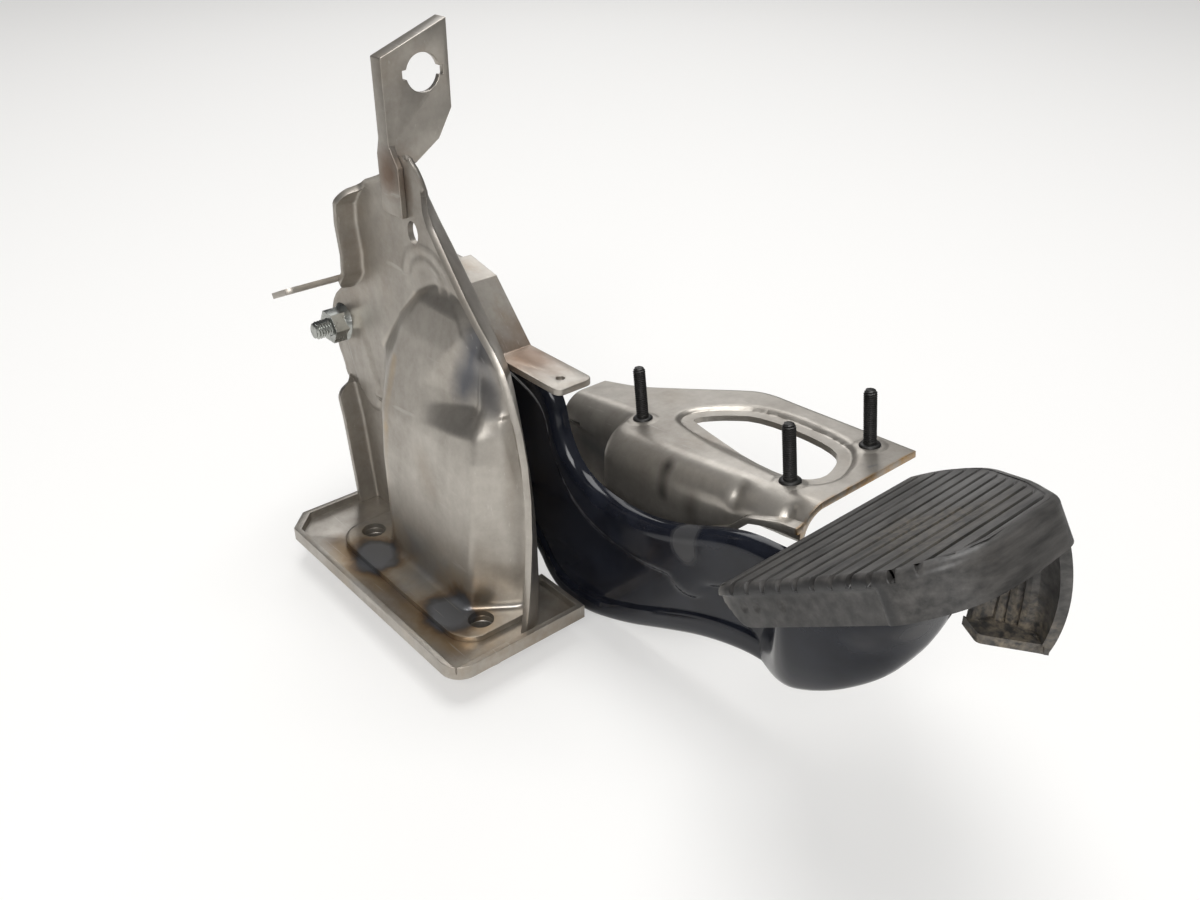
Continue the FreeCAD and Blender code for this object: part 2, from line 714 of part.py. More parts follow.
def build_pivot():
    """Through bolt, washer and flange nut, clamping a sleeve between the two cheeks."""
    far_out = "sizes.far_cheek + sizes.wall"
    under_head = far_out + " + sizes.washer_thickness"
    near_out = "-sizes.near_cheek - sizes.wall"
    shank_length = (
        "sizes.far_cheek + sizes.near_cheek + 2 * sizes.wall + sizes.washer_thickness"
        " + sizes.nut_height + sizes.bolt_past_nut"
    )
    shank = rod(
        "bolt_shank", "Part::Cylinder", under_head, Radius="sizes.bolt_size / 2", Height=shank_length,
    )
    head = rod(
        "bolt_head", "Part::Prism", under_head + " + sizes.head_height",
        Circumradius="sizes.nut_across / sqrt(3)", Height="sizes.head_height",
    )
    head.Polygon = 6
    bolt = named("Part::MultiFuse", "pivot_bolt")
    bolt.Shapes = [shank, head]
    washer = ring(
        "pivot_washer", "sizes.washer_outer / 2", BOLT_HOLE, "sizes.washer_thickness",
        (PIVOT_X, under_head, PIVOT_Z), TOWARDS_NEAR,
    )
    nodes.append(washer)
    hexagon = rod(
        "nut_hexagon", "Part::Prism", near_out,
        Circumradius="sizes.nut_across / sqrt(3)", Height="sizes.nut_height",
    )
    hexagon.Polygon = 6
    flange = rod(
        "nut_flange", "Part::Cone", near_out,
        Radius1="sizes.nut_flange / 2", Radius2="sizes.nut_across / 2", Height=2.4,
    )
    whole = doc.addObject("Part::MultiFuse", "nut_blank")
    whole.Shapes = [hexagon, flange]
    bore = rod(
        "nut_bore", "Part::Cylinder", near_out,
        Radius="sizes.bolt_size / 2 + sizes.thread_play", Height="sizes.nut_height",
    )
    nut = named("Part::Cut", "pivot_nut")
    nut.Base, nut.Tool = whole, bore
    sleeve = ring(
        "pivot_sleeve", "sizes.sleeve_outer / 2", BOLT_HOLE, "sizes.far_cheek + sizes.near_cheek",
        (PIVOT_X, "sizes.far_cheek", PIVOT_Z), TOWARDS_NEAR,
    )
    nodes.append(sleeve)


def build_hub():
    """Tube welded through the arm, with a flanged plastic bush pressed in at each end."""
    bush_bore = "sizes.sleeve_outer / 2 + sizes.fit_play"
    rim = "sizes.bush_rim_thickness"
    far_end = "sizes.far_cheek - sizes.side_play"
    near_end = "-sizes.near_cheek + sizes.side_play"
    bush_length = "(sizes.far_cheek + sizes.near_cheek) / 2 - 5"
    for side, label in ((1, "pivot_bush_far"), (-1, "pivot_bush_near")):
        start = far_end if side > 0 else near_end + " + " + bush_length
        rim_start = far_end if side > 0 else near_end + " + " + rim
        barrel = rod(
            label + "_barrel", "Part::Cylinder", start, Radius="sizes.bush_outer / 2", Height=bush_length,
        )
        collar = rod(label + "_rim", "Part::Cylinder", rim_start, Radius="sizes.bush_rim / 2", Height=rim)
        blank = doc.addObject("Part::MultiFuse", label + "_blank")
        blank.Shapes = [barrel, collar]
        bore = rod(label + "_bore", "Part::Cylinder", start, Radius=bush_bore, Height=bush_length)
        bush = named("Part::Cut", label)
        bush.Base, bush.Tool = blank, bore
    length = "sizes.far_cheek + sizes.near_cheek - 2 * (sizes.side_play + %s)" % rim
    hub = ring(
        "pedal_hub", "sizes.hub_outer / 2", "sizes.bush_outer / 2", length,
        (PIVOT_X, far_end + " - " + rim, PIVOT_Z), TOWARDS_NEAR,
    )
    nodes.append(hub)


ARM_UPPER = [
    (15, 112), (33, 106), (39.5, 98), (42, 85), (51, 73), (67, 68.5), (90, 70), (110, 77), (122, 83),
    (137, 88.5), (152, 90),
]
ARM_LOWER = [
    (150, 45), (139, 42.5), (122, 36), (101.5, 26.5), (79, 15.3), (61, 8.5), (45, 6.5), (34, 11), (25, 22),
    (8, 35), (-12, 55), (-32, 72),
]
ARM_LIP_BAND = [
    (-110, 99), (-60, 97), (0, 85), (22, 72), (32, 58), (60, 45), (95, 48), (125, 60), (170, 70), (170, 135),
    (-110, 135),
]


def arm_blank(label, gap, low, high):
    """The arm as a solid bar, smaller by a gap all round, between two depths."""
    body = plain_body(label)
    eye = value("sizes.arm_eye") - gap
    back, centre = -value("sizes.pivot_back"), value("sizes.pivot_height")
    edge = value("sizes.arm_eye")
    outline = ([(back, centre - edge), (back, centre + edge)] + along_arm(ARM_UPPER + ARM_LOWER))[::-1]
    outline = inset(outline, gap) if gap else outline
    start = "-(%s)" % high
    length = "(%s) - (%s)" % (high, low)
    pad(body, draw(body, "XZ_Plane", start, outline), length)
    pad(body, draw(body, "XZ_Plane", start, circles=[(PIVOT_X, PIVOT_Z, eye)]), length)
    (rear, low_z), (corner, low_z), (end, low_z) = along_arm([(-50, 0), (146, 0), (140, 0)])
    round_edges(
        body, "sizes.arm_corner", lambda edge: runs_along(edge, ALONG_Y) and rear < middle(edge).x < corner
    )
    front = value(low)
    if not gap:
        round_edges(
            body, "sizes.arm_bend",
            lambda edge: abs(middle(edge).y - front) < 0.01 and abs(middle(edge).x) < end,
        )
    return body


def build_pedal_arm():
    """Pressed channel: a web facing the near cheek, edges turned away from it."""
    near, sheet_gap = "-sizes.arm_near", value("sizes.arm_sheet")
    far = "sizes.arm_width - sizes.arm_near"
    outer = arm_blank("arm_outside", 0, near, far)
    inner = arm_blank("arm_inside", sheet_gap, near + " + sizes.arm_sheet", far + " + 1")
    body = follow_on("pedal_arm", cut_blank("arm_channel", outer, [inner]))
    depth = "sizes.arm_width - sizes.arm_lip"
    pocket(body, draw(body, "XZ_Plane", "-(%s)" % far, along_arm(ARM_LIP_BAND)), depth, along_normal=True)
    bores = [
        (PIVOT_X, PIVOT_Z, "sizes.hub_outer / 2"),
        (0, "sizes.clevis_height", "sizes.clevis_bush_outer / 2"),
    ]
    for x, z, radius in bores:
        pocket(body, draw(body, "XZ_Plane", "sizes.arm_near + 5", circles=[(x, z, radius)]))
    bush = ring(
        "clevis_bush", "sizes.clevis_bush_outer / 2", "sizes.clevis_bore / 2", "sizes.arm_width",
        (0, far, "sizes.clevis_height"), TOWARDS_NEAR,
    )
    nodes.append(bush)


TREAD = [(0, 0), (68, 0), (83, 12), (86, 30), (85, 53), (66, 71), (35, 95), (11, 100), (0, 96)]
FLAP = [(46.6, 86), (41, 77), (62, 60), (78, 44), (85, 42), (85, 53), (66, 71)]
FLAP_ROOM = [(49, 80.9), (43, 70), (78, 40), (82.5, 40), (82.5, 51.6), (64.4, 68.7)]


def on_pad(points):
    """Outlines on the tread, in the pad's own frame, stretch with its width and length."""
    return scaled(points, grown("pad_width"), grown("pad_length"))


def pad_outline(gap):
    return inset(on_pad(TREAD), gap)


def hang(feature):
    """Extrude straight down towards the bulkhead, while the pad's own frame leans."""
    lean = math.radians(value("sizes.pad_tilt"))
    feature.UseCustomVector = True
    feature.Direction = Vec(-math.sin(lean), 0, -math.cos(lean))
    feature.Reversed = False
    doc.recompute()


def place_pad(item):
    """The pad leans about Y, its far edge up. Its own frame has the tread level."""
    item.Placement = FreeCAD.Placement(Vec(), FreeCAD.Rotation(Vec(0, -1, 0), value("sizes.pad_tilt")))
    bind(item, "Placement.Base.x", "sizes.pad_corner_x")
    bind(item, "Placement.Base.y", "-sizes.pad_corner_y")
    bind(item, "Placement.Base.z", "sizes.pad_corner_z")
    bind(item, "Placement.Rotation.Angle", "sizes.pad_tilt")


def build_pad_rubber():
    """Moulded cover over the pad plate: ribbed tread, deep skirt and a pocket at the far end."""
    body = named("PartDesign::Body", "pad_rubber")
    pad(body, draw(body, "XY_Plane", 0, pad_outline(0)), "sizes.pad_skirt", downwards=True)
    round_edges(body, "sizes.pad_round", lambda edge: runs_along(edge, ALONG_Z) and middle(edge).x > 8)
    flap_top = "-sizes.pad_skirt + 2"
    hang(pad(body, draw(body, "XY_Plane", flap_top, on_pad(FLAP)), "sizes.flap_depth", downwards=True))
    flap_room = draw(body, "XY_Plane", flap_top, on_pad(FLAP_ROOM))
    hang(pocket(body, flap_room, "sizes.flap_depth - sizes.flap_wall"))
    room = pad_outline(value("sizes.rubber_side"))
    pocket(
        body, draw(body, "XY_Plane", "-sizes.pad_skirt - 1", room),
        "sizes.pad_skirt + 1 - sizes.rubber_top", along_normal=True,
    )
    start = "sizes.rib_pitch - sizes.groove_width / 2"
    end = start + " + sizes.groove_width"
    stop = "0.88 * sizes.pad_length"
    groove = [(start, -1), (end, -1), (end, stop), (start, stop)]
    cut = pocket(body, draw(body, "XY_Plane", 0, groove), "sizes.groove_depth")
    pattern = body.newObject("PartDesign::LinearPattern", "grooves")
    pattern.Originals = [cut]
    axis = [item for item in body.Origin.OriginFeatures if item.Role == "X_Axis"][0]
    pattern.Direction = (axis, [""])
    count = int(value("0.95 * sizes.pad_width / sizes.rib_pitch")) - 1
    pattern.Occurrences = count
    bind(pattern, "Length", "sizes.rib_pitch * %d" % (count - 1))
    body.Tip = pattern
    doc.recompute()
    place_pad(body)


def build_pad_plate():
    """Flat steel plate that the rubber cover grips."""
    body = named("PartDesign::Body", "pad_plate")
    outline = pad_outline(value("sizes.rubber_side + 0.2"))
    pad(body, draw(body, "XY_Plane", "-sizes.rubber_top", outline), "sizes.pad_steel", downwards=True)
    round_edges(
        body, "sizes.pad_round - sizes.rubber_side / 2",
        lambda edge: runs_along(edge, ALONG_Z) and middle(edge).x > 10,
    )
    place_pad(body)


def under_pad(along, off):
    """Where a point of the pad's own frame lies in the side view."""
    lean = math.radians(value("sizes.pad_tilt"))
    x = value("sizes.pad_corner_x") + along * math.cos(lean) - off * math.sin(lean)
    z = value("sizes.pad_corner_z") + along * math.sin(lean) + off * math.cos(lean)
    return x, z


def support_blank(label, gap):
    """The scoop as a solid, smaller by a gap at its sides and floor."""
    body = plain_body(label)
    wide, tall = grown("pad_corner_x"), grown("pad_corner_z")
    drop = value("sizes.rubber_top + sizes.pad_steel")
    skirt, side = value("sizes.pad_skirt"), value("sizes.rubber_side")
    far_lip = value("0.85 * sizes.pad_width")
    clear = 0.5
    if gap:
        low = [(155.2, 75.7), (155.2, 48.9), (161.3, 49.6), (180.3, 59.9), (199.2, 78.2), (211.3, 99.4)]
        above = value("sizes.pad_skirt")
        top = [(far_lip - gap, above), (side + clear + gap, above), (side + clear + gap, -skirt - 2)]
        near = [(162.9, 77.6)]
    else:
        low = [(152.2, 78), (152.2, 45.5), (162, 46.6), (182, 57.4), (201.7, 76.4), (214, 98)]
        top = [(far_lip, -drop), (side + clear, -drop), (side + clear, -skirt - 2 * clear)]
        near = [(161.7, 80.5)]
    outline = scaled(low, wide, tall) + [under_pad(along, off) for along, off in top]
    outline = outline + scaled(near, wide, tall)
    start = "sizes.support_near - sizes.support_width + %s" % gap
    pad(body, draw(body, "XZ_Plane", start, outline), "sizes.support_width - 2 * %s" % gap)
    def on_underside(edge):
        x, z = middle(edge).x / wide, middle(edge).z / tall
        return runs_along(edge, ALONG_Y) and 158 < x < 208 and z < x / 2 - 20

    round_edges(body, "sizes.support_round", on_underside)
    return body


def build_pad_support():
    """Pressed scoop that joins the end of the arm to the underside of the pad plate."""
    inner = support_blank("support_inside", value("sizes.support_sheet"))
    follow_on("pad_support", cut_blank("support_scoop", support_blank("support_outside", 0), [inner]))


build_base_plate()
build_spacers()
build_near_side_plate()
build_far_side_bracket()
build_studs()
build_stop_bracket()
build_switch_bracket()
build_pivot()
build_hub()
build_pedal_arm()
build_pad_rubber()
build_pad_plate()
build_pad_support()

doc.recompute()
for item in doc.Objects:
    if "Invalid" in item.State or "Error" in item.State:
        raise RuntimeError("%s failed: %s" % (item.Label, item.State))
for item in nodes:
    if item.Shape.isNull() or not item.Shape.isValid():
        raise RuntimeError("%s has no valid shape" % item.Label)
for item in nodes:
    item.Shape.exportStep("parts/%s.step" % item.Label)
    box = item.Shape.BoundBox
    print(
        item.Label, len(item.Shape.Solids), round(item.Shape.Volume),
        [round(side) for side in (box.XMin, box.XMax, box.YMin, box.YMax, box.ZMin, box.ZMax)],
    )
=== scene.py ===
import json
import math

import bmesh
import bpy
import numpy as np
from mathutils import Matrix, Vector


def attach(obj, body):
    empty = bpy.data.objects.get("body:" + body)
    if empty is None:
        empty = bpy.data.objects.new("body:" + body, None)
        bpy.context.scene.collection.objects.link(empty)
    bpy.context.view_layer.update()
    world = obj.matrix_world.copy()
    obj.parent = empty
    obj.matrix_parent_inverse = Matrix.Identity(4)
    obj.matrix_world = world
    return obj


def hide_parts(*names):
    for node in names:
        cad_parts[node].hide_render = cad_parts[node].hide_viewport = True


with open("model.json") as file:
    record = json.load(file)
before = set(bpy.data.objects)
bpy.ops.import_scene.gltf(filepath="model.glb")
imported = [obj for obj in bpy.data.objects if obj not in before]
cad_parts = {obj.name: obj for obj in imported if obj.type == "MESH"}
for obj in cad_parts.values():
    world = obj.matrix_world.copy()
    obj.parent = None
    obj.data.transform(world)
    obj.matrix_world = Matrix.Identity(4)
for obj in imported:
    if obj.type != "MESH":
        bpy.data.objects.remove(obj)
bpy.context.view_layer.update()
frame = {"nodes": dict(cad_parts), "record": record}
MM = 0.001

# Camera and studio
# The view has the photograph's angle and lens. The object stands on a pale floor
# under three soft lamps, and the metal mirrors a surround that pales upwards.
VIEW_TURN, VIEW_TILT = 49.4, 30.4
VIEW_PLACE = (333.5, -233.6, 297.0)
SENSOR_WIDTH, FOCAL_SHARE = 36.0, 1108 / 1200
LAMP_AIM = (0.05, 0, 0.08)
WHITE, FLOOR_PALE = (1.0, 0.995, 0.985, 1), (0.93, 0.92, 0.90, 1)
SURROUND_LOW, SURROUND_HIGH = (0.10, 0.10, 0.11, 1), (0.80, 0.79, 0.77, 1)
SURROUND_RISE, SURROUND_STRENGTH = (0.55, -0.30, 0.78), 0.42
FLOOR_REACH, FLOOR_GLOW = 6.0, 0.45


def placed(name, data):
    """A new object in the scene that shows a mesh, a camera or a lamp."""
    item = bpy.data.objects.new(name, data)
    bpy.context.collection.objects.link(item)
    return item


camera_data = bpy.data.cameras.new("camera")
camera_data.sensor_width = SENSOR_WIDTH
camera_data.lens = SENSOR_WIDTH * FOCAL_SHARE
camera_data.clip_start = 0.01
camera = placed("camera", camera_data)
camera.location = [length * MM for length in VIEW_PLACE]
camera.rotation_euler = (math.radians(90 - VIEW_TILT), 0, math.radians(VIEW_TURN))
bpy.context.scene.camera = camera
bpy.context.scene.view_settings.view_transform = "Standard"


def soft_lamp(name, place, width, power):
    """A square soft box at a place, facing the object."""
    data = bpy.data.lights.new(name, "AREA")
    data.size = width
    data.energy = power
    lamp = placed(name, data)
    lamp.location = place
    lamp.rotation_euler = (Vector(LAMP_AIM) - Vector(place)).to_track_quat("-Z", "Y").to_euler()


soft_lamp("overhead_box", (-0.1, 0.2, 1.5), 0.9, 15)
soft_lamp("front_box", (1.0, -1.0, 1.0), 0.7, 14)
soft_lamp("back_box", (-1.2, 1.0, 1.1), 0.9, 6)


def wire(tree, node, inputs):
    """Gives each input of a node a value or the output of another node."""
    for name, value in inputs.items():
        if isinstance(value, bpy.types.NodeSocket):
            tree.links.new(value, node.inputs[name])
        else:
            node.inputs[name].default_value = value
    return node


def add_node(tree, kind, inputs=None, operation=None):
    """A new shader node with its inputs wired."""
    node = tree.nodes.new(kind)
    if operation:
        node.operation = operation
    return wire(tree, node, inputs or {})


world = bpy.data.worlds.new("surround")
world.use_nodes = True
bpy.context.scene.world = world
tree = world.node_tree
sky = add_node(tree, "ShaderNodeTexCoord").outputs["Generated"]
height = add_node(tree, "ShaderNodeVectorMath", {0: sky, 1: SURROUND_RISE}, "DOT_PRODUCT")
ramp = add_node(tree, "ShaderNodeValToRGB", {"Fac": height.outputs["Value"]})
ramp.color_ramp.elements[0].color = SURROUND_LOW
ramp.color_ramp.elements[1].color = SURROUND_HIGH
mirrored = wire(tree, tree.nodes["Background"], {
    "Color": ramp.outputs["Color"], "Strength": SURROUND_STRENGTH,
})
seen = add_node(tree, "ShaderNodeBackground", {"Color": WHITE, "Strength": 1.0})
by_camera = add_node(tree, "ShaderNodeLightPath").outputs["Is Camera Ray"]
either = add_node(tree, "ShaderNodeMixShader", {
    0: by_camera, 1: mirrored.outputs["Background"], 2: seen.outputs["Background"],
})
wire(tree, tree.nodes["World Output"], {"Surface": either.outputs["Shader"]})

floor_mesh = bpy.data.meshes.new("floor")
corners = [(x * FLOOR_REACH, y * FLOOR_REACH, 0) for x, y in ((-1, -1), (1, -1), (1, 1), (-1, 1))]
floor_mesh.from_pydata(corners, [], [(0, 1, 2, 3)])
floor = placed("floor", floor_mesh)
floor_paint = bpy.data.materials.new("floor_paint")
floor_paint.use_nodes = True
tree = floor_paint.node_tree
matt = wire(tree, tree.nodes["Principled BSDF"], {"Base Color": FLOOR_PALE, "Roughness": 0.85})
glow = add_node(tree, "ShaderNodeEmission", {"Color": WHITE, "Strength": 1.0})
by_camera = add_node(tree, "ShaderNodeLightPath").outputs["Is Camera Ray"]
share = add_node(tree, "ShaderNodeMath", {0: by_camera, 1: FLOOR_GLOW}, "MULTIPLY")
blend = add_node(tree, "ShaderNodeMixShader", {
    0: share.outputs[0], 1: matt.outputs["BSDF"], 2: glow.outputs["Emission"],
})
wire(tree, tree.nodes["Material Output"], {"Surface": blend.outputs["Shader"]})
floor_mesh.materials.append(floor_paint)

# Base plate
# Pressed sheet steel tray, left bare: rolled grey-beige skin with mottling,
# scratches and brown tint. The other bare pressings share its finish.
STEEL_LOW, STEEL_HIGH = (0.27, 0.245, 0.215), (0.50, 0.47, 0.425)
RUST, BLUED, GOLD = (0.13, 0.065, 0.03), (0.23, 0.235, 0.245), (0.46, 0.32, 0.16)
# The first grey on the next line is painted shade, laid over hollows, recesses and the bulge's bottom.
PAINTED_SHADE_GREY, RING_GREY, PALE_SCRATCH = (0.12, 0.122, 0.132), (0.09, 0.09, 0.10), (0.62, 0.60, 0.56)
STAIN_BROWN, EDGE_BROWN, FOOT_BROWN = (0.27, 0.20, 0.13), (0.36, 0.22, 0.09), (0.20, 0.13, 0.07)
WELD_OVAL = (0.8, 1, 1)
WELD_RINGS = [
    (1.0, 2.0, GOLD, 0.45), (1.0, 1.3, RUST, 0.45), (0.8, 1.05, RING_GREY, 0.85), (0.6, 0.9, BLUED, 1.0),
]
FOOT_WELDS = [((-24, -54, 16), 10.5), ((30, -52, 16), 10.5)]
FOOT_LINE = ((-46, -61, 14), (46, -61, 14))


def start_material(name):
    """A new material with the nodes that every finish here begins with."""
    material = bpy.data.materials.new(name)
    material.use_nodes = True
    tree = material.node_tree
    place = add_node(tree, "ShaderNodeTexCoord").outputs["Object"]
    return material, tree, tree.nodes["Principled BSDF"], place


def noise(tree, place, scale, detail=6.0, rough=0.6, stretch=(1, 1, 1), turn=(0, 0, 0)):
    """Cloudy grain. Stretch squeezes it along an axis, which draws scratches."""
    mapping = add_node(tree, "ShaderNodeMapping", {"Vector": place, "Scale": stretch, "Rotation": turn})
    return add_node(tree, "ShaderNodeTexNoise", {
        "Vector": mapping.outputs["Vector"], "Scale": scale, "Detail": detail, "Roughness": rough,
    }).outputs["Fac"]


def spread(tree, amount, low, high, to_low=0.0, to_high=1.0):
    """A value carried from one range to another and held inside it."""
    return add_node(tree, "ShaderNodeMapRange", {
        "Value": amount, "From Min": low, "From Max": high, "To Min": to_low, "To Max": to_high,
    }).outputs["Result"]


def mixed(tree, amount, first, second):
    """Two colours mixed by an amount. A colour is a tuple or another node's output."""
    mix = tree.nodes.new("ShaderNodeMix")
    mix.data_type = "RGBA"
    first, second = ((*colour, 1) if isinstance(colour, tuple) else colour for colour in (first, second))
    low, high = [index for index, item in enumerate(mix.inputs) if item.type == "RGBA"]
    wire(tree, mix, {"Factor": amount, low: first, high: second})
    return [item for item in mix.outputs if item.type == "RGBA"][0]


def maths(tree, operation, first, second):
    """Two amounts joined by an operation."""
    return add_node(tree, "ShaderNodeMath", {0: first, 1: second}, operation).outputs[0]


def times(tree, first, second):
    """Two amounts multiplied."""
    return maths(tree, "MULTIPLY", first, second)


def tinted(tree, colour, mask, share, tint):
    """A colour with a share of a tint laid over it where the mask is 1."""
    return mixed(tree, times(tree, mask, share), colour, tint)


def vectors(tree, operation, first, second=(0, 0, 0)):
    """Two vectors joined by an operation. It gives a vector, or a number where the operation measures."""
    node = add_node(tree, "ShaderNodeVectorMath", {0: first, 1: second}, operation)
    return node.outputs["Value" if operation in ("LENGTH", "DISTANCE", "DOT_PRODUCT") else "Vector"]


def round_mask(tree, place, spot, inner, outer, flatten=(1, 1, 1)):
    """1 inside a ball at a spot (mm), falling to 0 between two radii, with a ragged edge."""
    ragged = add_node(tree, "ShaderNodeTexNoise", {"Vector": place, "Scale": 160}).outputs["Fac"]
    shift = vectors(tree, "SUBTRACT", place, [length * MM for length in spot])
    away = vectors(tree, "LENGTH", vectors(tree, "MULTIPLY", shift, flatten))
    wobble = times(tree, maths(tree, "SUBTRACT", ragged, 0.5), outer * 0.5 * MM)
    return spread(tree, maths(tree, "ADD", away, wobble), inner * MM, outer * MM, 1.0, 0.0)


def stripe(tree, place, start, end, inner, outer):
    """1 along the line between two places (mm), falling to 0 between two ragged distances from it."""
    start, end = Vector(start) * MM, Vector(end) * MM
    run = end - start
    shift = vectors(tree, "SUBTRACT", place, start)
    along = vectors(tree, "DOT_PRODUCT", shift, run / run.length_squared)
    foot = add_node(tree, "ShaderNodeVectorMath", {0: run, "Scale": spread(tree, along, 0, 1)}, "SCALE")
    away = vectors(tree, "DISTANCE", shift, foot.outputs[0])
    wobble = times(tree, noise(tree, place, 90, 4), outer * 0.5 * MM)
    return spread(tree, maths(tree, "ADD", away, wobble), inner * MM, outer * 1.25 * MM, 1.0, 0.0)


def beyond(tree, place, axis, low, high):
    """0 to 1 as a coordinate passes from one length to another, in mm."""
    split = add_node(tree, "ShaderNodeSeparateXYZ", {0: place})
    return spread(tree, split.outputs[axis], low * MM, high * MM)


def bump(tree, amount, strength, distance):
    """A shading normal with fine relief, made by an amount."""
    node = add_node(tree, "ShaderNodeBump", {"Height": amount, "Strength": strength, "Distance": distance})
    return node.outputs["Normal"]


def bare_steel(name, heat=(), welds=(), brown=0.35, raw_edge=None, tints=()):
    """Rolled sheet: soft clouds, fine mottling, thin scratches and brown tint.

    Heat spots are rusty clouds; the wide one on the stop bracket is partly painted shade. Welds are blued
    ovals with a dark ring and a golden halo. Tints are stripes of a colour; some of them are painted shade,
    as marked where they are given. A raw edge is golden brown past its X.
    """
    material, tree, shader, place = start_material(name)
    clouds = noise(tree, place, 9, 4, 0.5, (1, 1, 0.45))
    mottle = noise(tree, place, 150, 8, 0.72)
    wiped = noise(tree, place, 30, 5, 0.6, (2.6, 2.6, 0.5), (0.15, 0.25, 0))
    both = maths(tree, "ADD", times(tree, clouds, 0.5), times(tree, mottle, 0.28))
    both = maths(tree, "ADD", both, times(tree, wiped, 0.22))
    colour = mixed(tree, spread(tree, both, 0.36, 0.64), STEEL_LOW, STEEL_HIGH)
    stain = spread(tree, noise(tree, place, 22, 6, 0.65), 0.54, 0.76, 0.0, brown)
    colour = mixed(tree, stain, colour, STAIN_BROWN)
    for start, end, width, tint, share in tints:
        colour = tinted(tree, colour, stripe(tree, place, start, end, width * 0.3, width), share, tint)
    for spot, radius in heat:
        colour = tinted(tree, colour, round_mask(tree, place, spot, radius * 0.2, radius), 0.75, RUST)
    for spot, radius in welds:
        for inner, outer, tint, share in WELD_RINGS:
            oval = round_mask(tree, place, spot, radius * inner, radius * outer, WELD_OVAL)
            colour = tinted(tree, colour, oval, share, tint)
    if raw_edge:
        edge = beyond(tree, place, "X", raw_edge - 0.9, raw_edge)
        colour = tinted(tree, colour, edge, spread(tree, mottle, 0.35, 0.6), EDGE_BROWN)
    scratches = spread(tree, noise(tree, place, 34, 4, 0.5, (1, 22, 6), (0.3, 0.5, 0.2)), 0.66, 0.72)
    colour = tinted(tree, colour, scratches, 0.3, PALE_SCRATCH)
    wire(tree, shader, {
        "Base Color": colour, "Metallic": 0.78, "Roughness": spread(tree, both, 0.3, 0.7, 0.46, 0.28),
        "Normal": bump(tree, maths(tree, "ADD", mottle, times(tree, scratches, -0.3)), 0.14, 0.0004),
    })
    return material


def dress(node, material):
    """Gives a carried-over node its finish."""
    item = frame["nodes"][node]
    for slot in item.material_slots:
        slot.material = material
    if not item.material_slots:
        item.data.materials.append(material)


bodies = frame["record"]["behaviour"]["bodies"]
body_of_node = {node: body for body, group in bodies.items() for node in group}


def finish_piece(piece, node, material, *also):
    """The piece stands for a node (and others), rides on its body and has its finish."""
    piece.data.materials.clear()
    piece.data.materials.append(material)
    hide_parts(node, *also)
    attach(piece, body_of_node[node])


def soften(node, radius, material):
    """A copy of a node with its vertices merged, flat faces joined and its edges rounded."""
    work = bmesh.new()
    work.from_mesh(frame["nodes"][node].data)
    bmesh.ops.remove_doubles(work, verts=work.verts, dist=1e-6)
    bmesh.ops.dissolve_limit(work, angle_limit=math.radians(0.6), verts=work.verts, edges=work.edges)
    mesh = bpy.data.meshes.new(node + "_soft")
    work.to_mesh(mesh)
    work.free()
    mesh.shade_smooth()
    piece = placed(node + "_soft", mesh)
    bevel = piece.modifiers.new("edges", "BEVEL")
    bevel.width = radius * MM
    bevel.segments = 3
    bevel.limit_method = "ANGLE"
    bevel.angle_limit = math.radians(28)
    bevel.harden_normals = True
    finish_piece(piece, node, material)


soften("base_plate", 0.8, bare_steel(
    "base_plate_steel", brown=0.75, welds=FOOT_WELDS, tints=[(*FOOT_LINE, 9, FOOT_BROWN, 0.75)],
))

# Bulkhead spacers
# Four short turned steel collars welded under the plate round the bolt holes.
soften("bulkhead_spacers", 0.6, bare_steel("spacer_steel", brown=0.5))

# Near side plate
# Deep pressed cheek of 2.5 mm sheet. It bulges over the arm's foot, its edges
# are flanged outwards and its foot is bolted down; a long tongue covers the nut.
SHEET, NEAR_FACE, FOOT_LEVEL = 2.5, -24.5, 14.5
MID = SHEET / 2
FOOT_BEND, LIP_BEND, LIP_REACH = 4.0, 3.4, -36.0
BEND_TOP = FOOT_LEVEL + MID + FOOT_BEND
FOOT_EDGE, FOOT_HALF, FOOT_CORNER, FOOT_HOLE = -59.0, 50, 12, 10.5
REAR_EDGE = [
    (-70.2, 14.5), (-77, 70), (-84, 73), (-85, 79), (-89, 86), (-91, 100), (-87, 109), (-78, 116),
    (-65.5, 123.6), (-58, 132), (-61.5, 157), (-54, 167), (-33, 175), (-25, 182.5), (-18, 184.6),
]
FRONT_EDGE = [
    (54, 14.5), (55, 44), (52, 77), (46, 101), (42, 118), (38, 125), (27, 139), (14, 154), (-3, 171),
    (-8, 180), (-14, 184.6),
]
FRONT_LIP = [
    (58, 14.5), (61.5, 34), (65, 72), (62.5, 101), (55, 119), (50.5, 128), (34.5, 142), (20.5, 158.5),
    (8.5, 173.5), (-4, 180), (-14, 184.6),
]
BULGE_LEVELS = (14.5, 40, 62, 84, 100, 120, 133, 140)
BULGE_LEFT = (-50, -49.5, -49, -48, -45.5, -30, -16, -4)
BULGE_CREST_LEFT = (-24, -25, -26, -26.5, -25, -18, -8, -1)
BULGE_CREST_RIGHT = (31, 35, 38, 37, 34, 26, 17, 6)
BULGE_RIGHT = (44, 47.5, 48.5, 47, 45, 36, 26, 10)
BULGE_DEPTH = (18, 17.5, 17, 15, 11.5, 7.5, 4, 0)
HOLLOW_TOP, HOLLOW_LEFT, HOLLOW_RIGHT, HOLLOW_DEPTH = (24, 132), (0, 96), (43, 104), 6.5
FIELD_LOW, FIELD_HALF, FIELD_DEPTH = (-60, 64), 10.0, 1.2
TONGUE_ROOT = (-62.8, 127.2), (-79.2, 119.9)
NEAR_TOP = REAR_EDGE[-1][1]
PALE_CREASE = (0.62, 0.57, 0.50)


